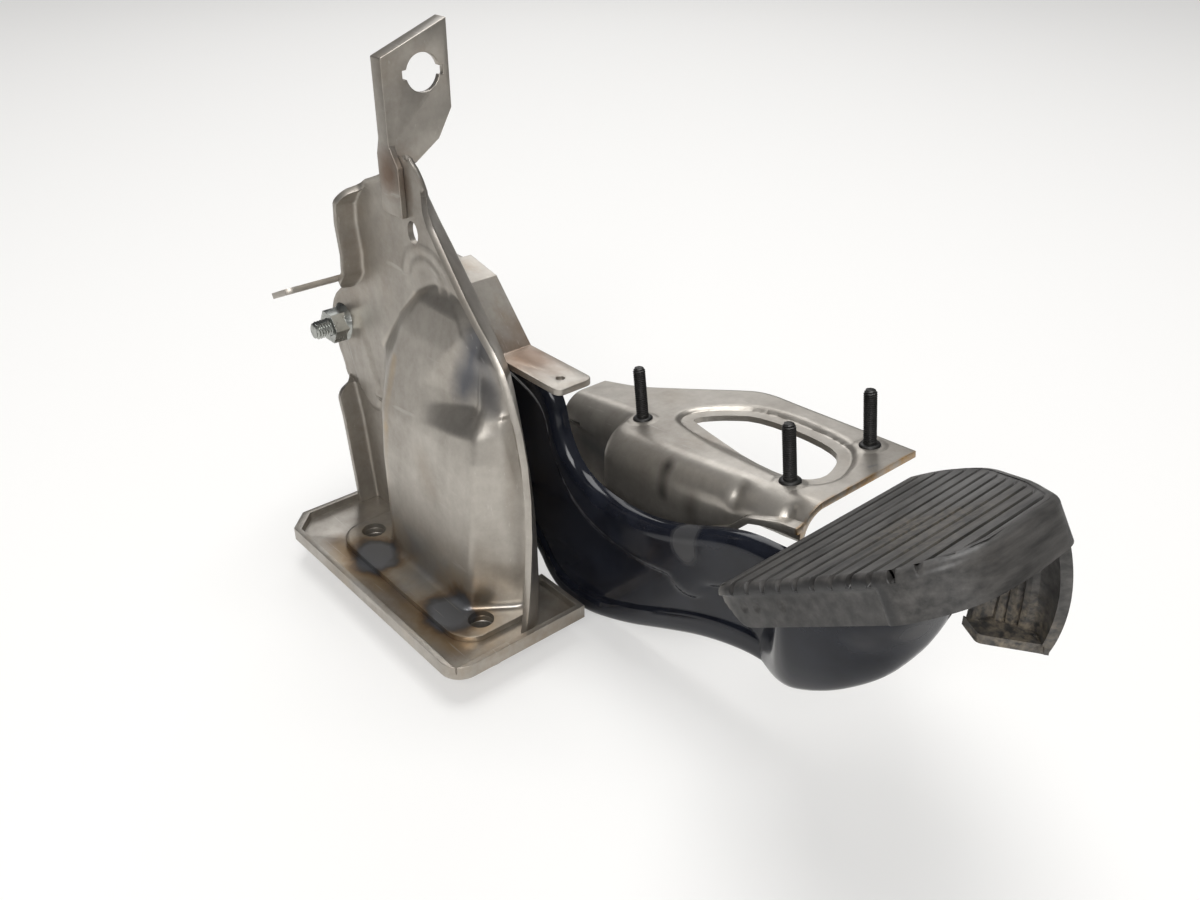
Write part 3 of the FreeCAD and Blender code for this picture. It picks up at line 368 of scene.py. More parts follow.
def flowing(points, rounds=3):
    """The open polyline with its corners cut a few times over, ends kept (corner cutting by quarters)."""
    line = np.array(points, float)
    for _ in range(rounds):
        first = 0.75 * line[:-1] + 0.25 * line[1:]
        second = 0.25 * line[:-1] + 0.75 * line[1:]
        inner = np.stack([first, second], axis=1).reshape(-1, line.shape[1])
        line = np.concatenate([line[:1], inner, line[-1:]])
    return line


def across(points, levels):
    """x of an edge line, its corners cut once, at each level z."""
    line = flowing(points, 1)
    heights = np.maximum.accumulate(line[:, 1])
    return np.interp(levels, heights, line[:, 0])


def ramp_up(amount, corner=0.1):
    """0 to 1 in a straight line, with a short parabola of the corner's half length at both its ends."""

    def bent(place):
        parabola = (place + corner) ** 2 / (4 * corner)
        return np.where(place < -corner, 0, np.where(place > corner, place, parabola))

    return bent(amount) - bent(amount - 1)


def ease(amount):
    """0 to 1 with a soft start and end: 3t squared less 2t cubed."""
    held = np.clip(amount, 0, 1)
    return held * held * (3 - 2 * held)


def places(x, y, z):
    """Points from three coordinates, each a number or an array that stretches to fit the others."""
    return np.stack(np.broadcast_arrays(x, y, z), axis=-1)


def quarter(radius, count):
    """A quarter circle from its foot: at each step, how far it has come and how much is still to rise."""
    turns = np.linspace(0, math.pi / 2, count)
    return [(radius * (1 - math.cos(turn)), radius * (1 - math.sin(turn))) for turn in turns]


def quads(points, keep=None, closed=False):
    """Corners and faces of a grid (rows, columns, xyz in mm). Closed joins its last column to the first."""
    rows, columns = points.shape[:2]
    index = np.arange(rows * columns).reshape(rows, columns)
    if closed:
        index = np.concatenate([index, index[:, :1]], axis=1)
    faces = np.stack([index[:-1, :-1], index[:-1, 1:], index[1:, 1:], index[1:, :-1]], axis=-1)
    faces = faces[keep] if keep is not None else faces.reshape(-1, 4)
    return points.reshape(-1, 3), faces


def surface(name, *grids):
    """One smooth mesh object from several grids, with corners that coincide merged."""
    corners, faces, start = [], [], 0
    for points, grid in grids:
        corners.append(points)
        faces.append(grid + start)
        start += len(points)
    corners, faces = np.concatenate(corners) * MM, np.concatenate(faces)
    mesh = bpy.data.meshes.new(name)
    mesh.from_pydata(corners.tolist(), [], faces.tolist())
    work = bmesh.new()
    work.from_mesh(mesh)
    bmesh.ops.remove_doubles(work, verts=work.verts, dist=2e-6)
    loose = [corner for corner in work.verts if not corner.link_faces]
    bmesh.ops.delete(work, geom=loose, context="VERTS")
    work.to_mesh(mesh)
    work.free()
    mesh.shade_smooth()
    return placed(name, mesh)


def thicken(piece, sheet, side=0.0, edge=0.3, even=True):
    """Gives a surface the thickness of its sheet, with softly rounded edges."""
    solid = piece.modifiers.new("sheet", "SOLIDIFY")
    solid.thickness = sheet * MM
    solid.offset = side
    solid.use_even_offset = even
    if edge:
        bevel = piece.modifiers.new("edges", "BEVEL")
        bevel.width = edge * MM
        bevel.segments = 2
        bevel.limit_method = "ANGLE"
        bevel.angle_limit = math.radians(50)


def bake(piece, cutters=()):
    """Works the modifiers, and the holes of the cutters, into the mesh."""
    for cutter in cutters:
        hole = piece.modifiers.new("hole", "BOOLEAN")
        hole.operation = "DIFFERENCE"
        hole.solver = "EXACT"
        hole.object = cutter
    bpy.context.view_layer.update()
    ready = piece.evaluated_get(bpy.context.evaluated_depsgraph_get())
    mesh = bpy.data.meshes.new_from_object(ready)
    piece.modifiers.clear()
    piece.data = mesh
    for cutter in cutters:
        bpy.data.objects.remove(cutter)
    mesh.shade_smooth()
    mesh.set_sharp_from_angle(angle=math.radians(35))


def plug(ends):
    """A closed plug between two rings of corners in mm, to cut a hole with."""
    corners, faces = quads(ends, closed=True)
    count = ends.shape[1]
    caps = [list(range(count)), list(range(2 * count - 1, count - 1, -1))]
    mesh = bpy.data.meshes.new("plug")
    mesh.from_pydata((corners * MM).tolist(), [], faces.tolist() + caps)
    work = bmesh.new()
    work.from_mesh(mesh)
    bmesh.ops.recalc_face_normals(work, faces=work.faces)
    work.to_mesh(mesh)
    work.free()
    return placed("plug", mesh)


def drill(place, axis, width, depth, height=None):
    """A round or oval plug, centred at a place in mm and lying along Y or Z."""
    turn = np.linspace(0, 2 * math.pi, 48, endpoint=False)
    x, y = np.cos(turn) * width / 2, np.sin(turn) * (height or width) / 2
    ends = np.stack([places(x, y, -depth / 2), places(x, y, depth / 2)])
    if axis == "Y":
        ends = ends[..., [0, 2, 1]]
    return plug(ends + np.array(place, float))


def bulge_depth(x, z):
    """Depth of the bulge: straight flanks up to a flat top with soft corners, less the hollow."""
    lines = (BULGE_LEFT, BULGE_CREST_LEFT, BULGE_CREST_RIGHT, BULGE_RIGHT, BULGE_DEPTH)
    left, crest_left, crest_right, right, depth = (np.interp(z, BULGE_LEVELS, line) for line in lines)
    flank = np.minimum((x - left) / (crest_left - left), (right - x) / (right - crest_right))
    full = np.where(z < BULGE_LEVELS[-1], depth * ramp_up(flank), 0.0)
    return np.maximum(full - hollow_depth(x, z), 0.0)


def hollow_depth(x, z):
    """A valley in the bulge's shoulder: two flat flanks meet in a line that runs down from the apex."""
    (top_x, top_z), (left_x, left_z), (right_x, right_z) = HOLLOW_TOP, HOLLOW_LEFT, HOLLOW_RIGHT
    share = np.clip((top_z - z) / (top_z - right_z), 0, 1)
    left = top_x + (left_x - top_x) * share
    right = top_x + 3 + (right_x - top_x - 3) * share
    over = (x - left) / np.maximum(right - left, 1)
    section = ramp_up(np.minimum(over / 0.62, (1 - over) / 0.38), 0.12)
    floor_line = left_z + (right_z - left_z) * (x - left_x) / (right_x - left_x)
    return HOLLOW_DEPTH * section * ramp_up(share * 1.6) * ramp_up((z - floor_line + 9) / 9)


def near_skin(x, z):
    """Middle of the panel's sheet, with two shallow press arcs and the field pressed in below the pivot."""
    arc = np.hypot(x + 8, (z - 139) * 1.2)
    press = 0.5 * np.exp(-((arc - 10) / 1.5) ** 2) + 0.45 * np.exp(-((arc - 16) / 1.5) ** 2)
    press = press * (z > 139)
    low_x, low_z = FIELD_LOW
    beside = abs(x - low_x + (z - low_z) * 0.32)
    low_end = np.where(z < low_z + FIELD_HALF, np.hypot(beside, z - low_z - FIELD_HALF), beside)
    field = FIELD_DEPTH * ease((FIELD_HALF - low_end) / 2.0) * ease((108 - z) / 14) * (z > 48)
    return NEAR_FACE - MID - bulge_depth(x, z) - press - field

def flange_share(levels, low, high, corner=7.0):
    """1 along a flange, rounding to 0 at both its ends, as a quarter circle does."""
    inside = np.clip(np.minimum(levels - low, high - levels) / corner, 0, 1)
    return np.sqrt(1 - (1 - inside) ** 2)


def near_plate_grid():
    """Panel rows run up in z and columns run from the rear edge to the front edge, each edge turned outwards.

    A row is: rear lip, bend, panel, bend, front lip. The lips are straight lines from root to tip and the
    bends are parabolas between them.
    """
    levels = np.concatenate([np.linspace(FOOT_LEVEL, BEND_TOP, 5), np.linspace(BEND_TOP, NEAR_TOP, 150)])
    levels = np.unique(levels)
    rear, front = across(REAR_EDGE, levels) + MID, across(FRONT_EDGE, levels) - MID
    tip = across(FRONT_LIP, levels) - MID
    front = np.maximum(front, rear + 2)
    rear_share = np.maximum(flange_share(levels, 8, 72), flange_share(levels, 120, 166))
    front_share = flange_share(levels, 4, 174)
    steps = np.linspace(0, 1, 7)[:, None]
    sides = []
    for share, root, end, inward in ((rear_share, rear, rear, 1), (front_share, front, tip, -1)):
        reach = (LIP_REACH + MID - NEAR_FACE) * np.maximum(share, 0.12)
        corner = np.stack([root, np.full_like(root, NEAR_FACE - MID)], axis=1)
        lip = corner + np.stack([(end - root) * share, reach], axis=1)
        length = np.linalg.norm(lip - corner, axis=1)[:, None]
        bent = np.minimum(LIP_BEND, length * 0.8)
        start = corner + (lip - corner) / np.maximum(length, 1e-6) * bent
        inner = corner + np.array([inward, 0.0]) * bent
        straight = lip[:, None] + (start - lip)[:, None] * np.linspace(0, 1, 5)[:-1, None]
        arc = (1 - steps) ** 2 * start[:, None] + 2 * steps * (1 - steps) * corner[:, None]
        arc = arc + steps ** 2 * inner[:, None]
        sides.append(np.concatenate([straight, arc], axis=1))
    left, right = sides[0], sides[1][:, ::-1]
    x = left[:, -1:, 0] + np.linspace(0, 1, 112)[1:-1] * (right[:, :1, 0] - left[:, -1:, 0])
    panel = np.stack([x, near_skin(x, levels[:, None])], axis=2)
    flat = np.concatenate([left, panel, right], axis=1)
    points = places(flat[..., 0], flat[..., 1], levels[:, None])
    middle = (points[:-1, :-1] + points[1:, 1:]) / 2
    over_foot = (abs(middle[..., 0]) < FOOT_HALF - 0.5) & (middle[..., 2] < BEND_TOP)
    return points, ~over_foot


def near_foot_grid(points):
    """Rows run from the foot's rounded outer edge inwards, then up a quarter circle to the panel."""
    row = points[np.searchsorted(points[:, 0, 2], BEND_TOP - 0.01)]
    row = row[abs(row[:, 0]) < FOOT_HALF]
    x, panel_y = row[:, 0], row[:, 1]
    rounding = np.clip(abs(x) - (FOOT_HALF - FOOT_CORNER), 0, FOOT_CORNER)
    outer = FOOT_EDGE + FOOT_CORNER - np.sqrt(FOOT_CORNER ** 2 - rounding ** 2)
    inner, level = panel_y - FOOT_BEND, FOOT_LEVEL + MID
    rows = [places(x, outer + share * (inner - outer), level) for share in np.linspace(0, 1, 14)[:-1]]
    rows += [places(x, panel_y - left, level + rise) for rise, left in quarter(FOOT_BEND, 8)]
    return np.stack(rows)


def tongue_grid():
    """The tongue is a strip along Y over the nut. Its outer corners are rounded off."""
    first, second = np.array(TONGUE_ROOT)
    reach = np.linspace(0, 1, 22)
    y = NEAR_FACE - MID + (FOOT_EDGE + MID - NEAR_FACE) * reach
    narrow = 1 - 0.22 * (1 - np.sqrt(1 - np.clip((reach - 0.86) / 0.14, 0, 1) ** 2))
    share = np.linspace(0, 1, 12)[:, None]
    middle, half = (first + second) / 2, (second - first) / 2
    line = middle + half * narrow[:, None, None] * (2 * share - 1)
    return places(line[..., 0], y[:, None], line[..., 1])


panel, panel_faces = near_plate_grid()
near_plate = surface(
    "near_plate_pressing", quads(panel, panel_faces), quads(near_foot_grid(panel)), quads(tongue_grid()),
)
thicken(near_plate, SHEET - 0.1)
foot_holes = [drill((x, -45, 16), "Z", FOOT_HOLE, 8) for x in (-41, 41)]
bake(near_plate, [*foot_holes, drill((-15.5, -26, 157), "Y", 7, 12, 9), drill((-80, -26, 99), "Y", 8.5, 8)])
finish_piece(near_plate, "near_side_plate", bare_steel(
    "near_plate_steel", welds=FOOT_WELDS, heat=[((-25, -27, 172), 13)], tints=[
        ((-21, -36, 106), (-24, -41, 76), 3.2, GOLD, 0.55),
        ((-24, -41, 76), (-26, -42, 20), 3.6, GOLD, 0.5),
        ((-47, -27, 100), (-18, -27, 131), 2.4, PALE_CREASE, 0.5),
        ((-18, -27, 131), (6, -27, 140), 2.4, PALE_CREASE, 0.5),
        # Painted shade: three dark grey stripes darken the hollow's valley.
        ((27, -30, 129), (20, -32, 106), 8, PAINTED_SHADE_GREY, 1.0),
        ((27, -30, 129), (38, -33, 106), 6, PAINTED_SHADE_GREY, 0.9),
        ((22, -33, 112), (34, -33, 110), 7, PAINTED_SHADE_GREY, 0.8),
        ((3, -42, 72), (8, -42, 62), 9, (0.25, 0.20, 0.15), 0.4),
        ((-46, -61, 17), (46, -61, 17), 5, FOOT_BROWN, 0.7),
        # Painted shade: a dark grey band along the bulge's bottom, just above the foot.
        ((-10, -42, 24), (36, -42, 22), 14, PAINTED_SHADE_GREY, 0.55),
        ((46, -30, 100), (50, -36, 30), 4, (0.22, 0.18, 0.14), 0.45),
    ],
))

# Far side bracket
# One large pressing of the same sheet: bolted foot and cheek, a wall that steps
# inwards, a rolled corner and the tilted deck with its rimmed cut-out.
DECK_TILT, DECK_HEIGHT = math.radians(8), 76.6
DECK_PATH = [
    (5, 27), (22, 27), (36, 27), (41.5, 26.4), (45, 20.5), (47.5, 13.6), (52, 11.2), (60, 11), (100, 11),
    (149, 11),
]
DECK_FAR = [(5, 51), (23, 55), (36, 63), (46, 69), (57, 76), (69, 83), (90, 80), (120, 76.3), (149, 72.5)]
DECK_TRIM = [
    (5, 67.6), (35, 65.6), (38.5, 62), (41.5, 56), (50, 53), (80, 57), (104, 68), (119, 76), (128, 84.5),
    (141, 89.5), (149, 91),
]
ROLL, WALL_LIP = 11.0, 3.0
CUTOUT = [(62, 47), (70, 43.5), (120, 28.5), (137, 34.5), (133, 50), (123.5, 60), (84, 65.5), (70, 57)]
FAR_FACE, FAR_TOP, FAR_HALF, FAR_EDGE, FAR_CORNER, TRIMMED = 27, 118.8, 52, 59, 8, 0.4
FAR_REAR = [(-70.2, 14.5), (-76, 68), (-92, 84), (-95.8, 99), (-92, 112), (-80, 118.8)]
FAR_FRONT = [
    (42, 14.5), (40, 60), (36, 66), (6, 68), (-8, 78), (-23, 87), (-30, 90), (-38, 99.6), (-46, 114),
    (-60, 118.8),
]
STUD_SPOTS = [(50, 32), (131, 26), (134, 66)]
DENTS = [
    ((118, 14, 88), 3.6, 2.2), ((141, 14, 91), 3.6, 2.2), ((99, 11, 68), 6.0, 1.6),
    ((129, 11, 84), 9.0, -1.2),
]


def deck_level(x):
    """Height of the middle of the deck's sheet."""
    return DECK_HEIGHT + x * math.tan(DECK_TILT) - MID / math.cos(DECK_TILT)


def deck_grid():
    """Rows go from the wall's lower lip up the wall, round the roll and out over the deck to its far edge.

    Columns follow the front path. The wall hangs straight down, the roll is a quarter circle that leans
    straight back, and the deck is a straight blend to the far edge. Its rim, bosses and dents are eased
    or bell shaped shifts of these points.
    """
    path = flowing(DECK_PATH)
    x = np.unique(np.concatenate([path[:, 0], np.arange(56, 149, 0.8)]))
    wall = np.interp(x, *path.T) + MID
    far = np.interp(x, *flowing(DECK_FAR).T)
    trim = np.interp(x, *np.array(DECK_TRIM, float).T)
    level, radius = deck_level(x), ROLL - MID
    lip_share = ease((x - 104) / 14)
    lip = [(wall - WALL_LIP * part * lip_share, trim + 0.6 * (1 - part) ** 2) for part in (1.0, 0.66, 0.33)]
    upright = [(wall, trim + 1.0 + part * (level - radius - trim - 1.0)) for part in np.linspace(0, 1, 18)]
    roll = [(wall + rise, level - left) for rise, left in quarter(radius, 12)[1:]]
    inner = wall + radius
    deck = [(inner + part * (far - inner), level) for part in np.linspace(0, 1, 60)[1:] ** 1.1]
    points = np.stack([places(x, y, z) for y, z in lip + upright + roll + deck])
    x, y, z = (points[..., axis] for axis in range(3))
    gap = np.full(x.shape, 1e3)
    for corner in closed_flow(CUTOUT, 160, rounds=2):
        gap = np.minimum(gap, np.hypot(x - corner[0], y - corner[1]))
    on_top = z > deck_level(x) - 0.5
    z -= 1.5 * ease((7.5 - gap) / 2.2) * on_top * ease((y - 26 + (x - 120) * 0.12) / 6)
    for spot in STUD_SPOTS:
        boss = np.hypot(x - spot[0], y - spot[1])
        z += 0.35 * ease((6.5 - boss) / 1.5) * on_top
    for spot, reach, depth in DENTS:
        away = np.sqrt(((points - np.array(spot)) ** 2 * [1.6, 1, 1]).sum(axis=2))
        sink = depth * np.exp(-(away / reach) ** 2)
        y += sink * 0.8
        z -= sink * 0.6
    return points


def far_cheek_grids():
    """The cheek's rows run up in z between its edges; the foot turns out from it round a quarter circle."""
    face = FAR_FACE + MID
    levels = np.linspace(FOOT_LEVEL, FAR_TOP, 90)
    rear = across(FAR_REAR, levels) + TRIMMED
    front = np.interp(levels, *np.array(FAR_FRONT).T[::-1]) - TRIMMED
    x = rear[:, None] + np.linspace(0, 1, 50) * (front - rear)[:, None]
    cheek = places(x, face, levels[:, None])
    along = np.linspace(-51.7, 51.7, 70)
    rounding = np.clip(abs(along) - (FAR_HALF - FAR_CORNER), 0, FAR_CORNER)
    outer = FAR_EDGE - FAR_CORNER + np.sqrt(FAR_CORNER ** 2 - rounding ** 2)
    inner, level = face + FOOT_BEND, FOOT_LEVEL + MID
    rows = [places(along, outer + part * (inner - outer), level) for part in np.linspace(0, 1, 12)]
    rows += [places(along, face + left, level + rise) for rise, left in quarter(FOOT_BEND, 7)[1:]]
    return quads(cheek), quads(np.stack(rows))


def evenly(line, count, endpoint=True):
    """Points at even steps along the length of a line."""
    lengths = np.concatenate([[0], np.cumsum(np.linalg.norm(np.diff(line, axis=0), axis=1))])
    steps = np.linspace(0, lengths[-1], count, endpoint=endpoint)
    return np.stack([np.interp(steps, lengths, side) for side in line.T], axis=1)


def closed_flow(points, count, rounds):
    """A closed line with its corners cut, as points at even steps along its length."""
    line = np.array(points, float)
    for _ in range(rounds):
        after = np.roll(line, -1, axis=0)
        line = np.stack([0.75 * line + 0.25 * after, 0.25 * line + 0.75 * after], axis=1).reshape(-1, 2)
    return evenly(np.concatenate([line, line[:1]]), count, endpoint=False)


far_bracket = surface("far_bracket_pressing", quads(deck_grid()), *far_cheek_grids())
thicken(far_bracket, SHEET - 0.1, even=False)
opening = closed_flow(CUTOUT, 120, rounds=2).T
window = plug(np.stack([places(*opening, 60), places(*opening, 120)]))
foot_holes = [drill((x, 45, 16), "Z", FOOT_HOLE, 8) for x in (-41, 41)]
bake(far_bracket, [window, *foot_holes, drill((-80, 28, 99), "Y", 8.5, 8)])
finish_piece(far_bracket, "far_side_bracket", bare_steel(
    "far_bracket_steel", raw_edge=148.6, tints=[
        ((83.5, 14, 84), (83.5, 12, 74), 4.2, (0.03, 0.027, 0.025), 0.9),
        # Painted shade: dark grey over the recessed wall left of the step.
        ((20, 27, 62), (40, 27, 60), 14, PAINTED_SHADE_GREY, 0.7),
        ((99, 11, 80), (96, 11, 58), 5, (0.20, 0.18, 0.155), 0.6),
        ((144.4, 52, 96), (145.2, 55, 96), 1.2, (0.02, 0.07, 0.12), 0.8),
    ],
))

# Stop bracket and switch bracket
# Folded strips of the same sheet, welded to the near cheek.
# The stop bracket's strong brown stain and wide rust cloud darken it: partly its own brown, partly painted
# shade.
soften("stop_bracket", 0.5, bare_steel("stop_bracket_steel", brown=0.95, heat=[((40, -16, 122), 22)]))
soften("switch_bracket", 0.4, bare_steel("switch_bracket_steel", heat=[((-25, -28, 178), 12)]))

# Mounting studs
# M5 weld studs, phosphated black, standing square on the tilted deck.
STUD_LENGTH, STUD_PITCH = 22.0, 0.8


def plain_finish(name, colour, rough, metal, grain=200.0, change=0.25):
    """A finish of one colour with fine light and dark grain and uneven gloss."""
    material, tree, shader, place = start_material(name)
    fine = noise(tree, place, grain, 6, 0.6)
    darker = tuple(part * (1 - change) for part in colour)
    lighter = tuple(min(1.0, part * (1 + change)) for part in colour)
    wire(tree, shader, {
        "Base Color": mixed(tree, spread(tree, fine, 0.35, 0.65), darker, lighter), "Metallic": metal,
        "Roughness": spread(tree, fine, 0.3, 0.7, rough * 0.8, rough * 1.2),
        "Normal": bump(tree, fine, 0.1, 0.0003),
    })
    return material


def threaded(length, radius, pitch, start):
    """Radius falls and rises once per pitch along the axis and slides with the turn: a helical groove."""
    turn = np.linspace(0, 2 * math.pi, 40, endpoint=False)
    height = np.linspace(0, length, int(length / pitch * 8))[:, None]
    phase = (height / pitch - turn / (2 * math.pi)) % 1.0
    cut = 0.6 * pitch * (1 - abs(2 * phase - 1)) * (height > start)
    taper = 0.7 * np.clip(1 - (length - height) / 1.2, 0, 1)
    width = radius - cut - taper
    tube = places(width * np.cos(turn), width * np.sin(turn), height)
    return np.concatenate([tube, tube[-1:] * [0, 0, 1]])


def turned(profile):
    """A lathe form: rings of the (radius, height) profile."""
    turn = np.linspace(0, 2 * math.pi, 40, endpoint=False)
    radius, height = np.array(profile, float).T[..., None]
    return places(radius * np.cos(turn), radius * np.sin(turn), height)


def on_deck(points, x, y):
    """Stands a form on the tilted deck at a place given along the deck and across it."""
    along, up = points[..., 0] + x / math.cos(DECK_TILT), points[..., 2]
    return places(
        along * math.cos(DECK_TILT) - up * math.sin(DECK_TILT), points[..., 1] + y,
        DECK_HEIGHT + along * math.sin(DECK_TILT) + up * math.cos(DECK_TILT),
    )


stud_grids = []
for stud_x, stud_y in STUD_SPOTS:
    shank = threaded(STUD_LENGTH, 2.5, STUD_PITCH, 2.4)
    collar = turned([(0.5, 0), (4, 0), (4, 0.7), (3.6, 1.15), (2.3, 1.2)])
    for form in (shank, collar):
        stud_grids.append(quads(on_deck(form, stud_x, stud_y), closed=True))
studs = surface("stud_threads", *stud_grids)
studs.data.set_sharp_from_angle(angle=math.radians(50))
finish_piece(studs, "mounting_studs", plain_finish("stud_phosphate", (0.035, 0.034, 0.033), 0.42, 0.6))

# Pivot bolt, nut, washer and sleeve
# Zinc plated M8 hardware clamping a steel sleeve between the cheeks. The thread
# shows past the nut, and the end of the bolt is chamfered.
PIVOT = (-80.0, 99.0)
BOLT_HEAD_FACE, BOLT_LENGTH, BOLT_PITCH = 36.4, 78.4, 1.25
zinc = plain_finish("zinc_plate", (0.36, 0.37, 0.35), 0.3, 0.95, change=0.2)


def along_pivot(points, face):
    """Lays a form that stands on z along the pivot, running from a face towards the near side."""
    return places(points[..., 0] + PIVOT[0], face - points[..., 2], points[..., 1] + PIVOT[1])


def hexagon(across_flats, low, high, chamfer=0.6):
    """Six flats, the corners taken back at both ends by the chamfer."""
    turn = np.linspace(0, 2 * math.pi, 120, endpoint=False)
    sector = (turn + math.pi / 6) % (math.pi / 3) - math.pi / 6
    full = across_flats / 2 / np.cos(sector)
    tip, round_end = np.full_like(turn, 0.01), np.minimum(full, across_flats / 2)
    radii = (tip, round_end, full, full, round_end, tip)
    levels = (low, low, low + chamfer, high - chamfer, high, high)
    return np.stack([places(size * np.cos(turn), size * np.sin(turn), z) for size, z in zip(radii, levels)])


bolt = surface(
    "bolt_thread",
    quads(along_pivot(threaded(BOLT_LENGTH, 4.0, BOLT_PITCH, 50), BOLT_HEAD_FACE), closed=True),
    quads(along_pivot(hexagon(13, 0, 5.3), BOLT_HEAD_FACE), closed=True),
)
bolt.data.set_sharp_from_angle(angle=math.radians(40))
finish_piece(bolt, "pivot_bolt", zinc)
soften("pivot_nut", 0.35, zinc)
for node in ("pivot_washer", "pivot_sleeve", "clevis_bush"):
    dress(node, zinc)

# Hub and bushes
# Tube welded through the arm, with two moulded flanged bushes.
PAINT_LOW, PAINT_HIGH, LOBE_REFLECTION_AND_BAND_GREY = (0.006, 0.007, 0.011), (0.013, 0.015, 0.022), (0.060, 0.060, 0.062)


def arm_paint(name, shine):
    """Gloss blue-black paint, with a painted reflection as a satin grey lobe on the arm and a satin grey band
    under the pad.
    """
    material, tree, shader, place = start_material(name)
    fine, soft = noise(tree, place, 90, 6, 0.6), noise(tree, place, 14, 4, 0.5)
    # The lobe is a painted reflection: a grey U-shaped patch on the arm's web. The band is a grey satin patch
    # on the scoop under the pad.
    lobe = stripe(tree, place, (110, -4, 80), (111.5, -4, 71), 6.5, 7.6)
    band = stripe(tree, place, (188, -28, 88), (214, -20, 106), 2, 9)
    band = times(tree, band, spread(tree, soft, 0.42, 0.52))
    reflection_lobe_and_band = maths(tree, "MAXIMUM", times(tree, lobe, 0.8), band)
    colour = mixed(tree, spread(tree, fine, 0.35, 0.7), PAINT_LOW, PAINT_HIGH)
    wire(tree, shader, {
        "Base Color": mixed(tree, reflection_lobe_and_band, colour, LOBE_REFLECTION_AND_BAND_GREY), "Specular IOR Level": shine,
        "Roughness": maths(tree, "ADD", spread(tree, fine, 0.3, 0.7, 0.10, 0.17), times(tree, reflection_lobe_and_band, 0.25)),
        "Normal": bump(tree, fine, 0.06, 0.0003),
    })
    return material


gloss = arm_paint("arm_gloss", 0.32)
bush = plain_finish("bush_nylon", (0.75, 0.72, 0.62), 0.5, 0.0)
dress("pivot_bush_near", bush)
dress("pivot_bush_far", bush)
dress("pedal_hub", gloss)
dress("pad_plate", gloss)

# Pedal arm
# Pressed channel of 3 mm sheet, painted gloss black. Its upper and lower edges
# turn away from the near side, and its web is pressed back between raised borders.
ARM_TOP_EDGE = [
    (-99.8, 101), (-93, 114.2), (-80, 119), (-40, 117), (0, 113.8), (20, 110.5), (33, 106), (39.5, 97),
    (42, 85), (51, 73), (67, 68.5), (90, 70), (110, 77), (122, 83), (137, 88.5), (152, 90),
]
ARM_LOW_EDGE = [
    (-99.8, 97), (-93, 83.8), (-80, 79), (-50, 76.5), (-32, 72), (-12, 55), (8, 35), (25, 22), (30, 14.5),
    (39, 8.5), (55, 7), (79, 15.3), (101.5, 26.5), (122, 36), (141, 41.8), (152, 42.8),
]
ARM_RIDGE = (5, 6, 7, 8, 8, 8, 8, 8, 8, 10, 13, 16, 20, 20, 16, 14)
ARM_SHEET, ARM_BEND, ARM_NEAR, ARM_FAR, ARM_LIP_END = 3.0, 3.6, -5.0, 8.0, 1.5
PRESSED_BACK, LOBE_SPOT, LOBE_RADIUS = 1.4, (112, 62), 9.0


def arm_grid():
    """Rows run along the arm and columns run round its section: low flange, bend, web, bend, top flange.

    The two edges are cut-corner curves through paired points. A bend is a quarter circle whose plane holds
    the edge's inward normal, and the web between the bends is a straight blend pushed back by the relief.
    """
    top = flowing([(x, z, width) for (x, z), width in zip(ARM_TOP_EDGE, ARM_RIDGE)])
    low_line, top_line, ridge_width = flowing(ARM_LOW_EDGE), top[:, :2], top[:, 2]
    inwards = []
    for line, side in ((low_line, 1), (top_line, -1)):
        run = np.gradient(line, axis=0)
        run = run / np.linalg.norm(run, axis=1)[:, None]
        inwards.append(side * np.stack([-run[:, 1], run[:, 0]], axis=1))
    low_in, top_in = inwards
    half = ARM_SHEET / 2
    web = ARM_NEAR + half
    columns = []

    def column(line, inward, depth, y):
        flat = line + inward * depth
        columns.append(places(flat[:, 0], y, flat[:, 1]))

    for share in np.linspace(0, 1, 6)[:-1]:
        column(low_line, low_in, half, ARM_FAR + share * (web + ARM_BEND - ARM_FAR))
    for rise, left in quarter(ARM_BEND, 7):
        column(low_line, low_in, half + rise, web + left)
    inner_low, inner_top = low_line + low_in * (half + ARM_BEND), top_line + top_in * (half + ARM_BEND)
    gap = np.linalg.norm(inner_top - inner_low, axis=1)
    for share in np.linspace(0, 1, 44)[1:-1]:
        flat = inner_low + share * (inner_top - inner_low)
        from_low, from_top = share * gap, (1 - share) * gap
        relief = ease((from_low - 4) / 2.5) * ease((from_top - ridge_width + 4) / 2.5)
        lobe = np.hypot(flat[:, 0] - LOBE_SPOT[0], flat[:, 1] - LOBE_SPOT[1])
        relief = relief * ease((lobe - LOBE_RADIUS) / 2.5)
        columns.append(places(flat[:, 0], web + PRESSED_BACK * relief, flat[:, 1]))
    for rise, left in quarter(ARM_BEND, 7)[::-1]:
        column(top_line, top_in, half + rise, web + left)
    for share in np.linspace(0, 1, 4)[1:]:
        column(top_line, top_in, half, web + ARM_BEND + share * (ARM_LIP_END - web - ARM_BEND))
    return np.stack(columns, axis=1)


arm = surface("arm_channel", quads(arm_grid()))
thicken(arm, ARM_SHEET - 0.1, edge=0.0)
bake(arm, [drill((-80, 0, 99), "Y", 28, 40), drill((0, 0, 80), "Y", 15, 40)])
finish_piece(arm, "pedal_arm", gloss)

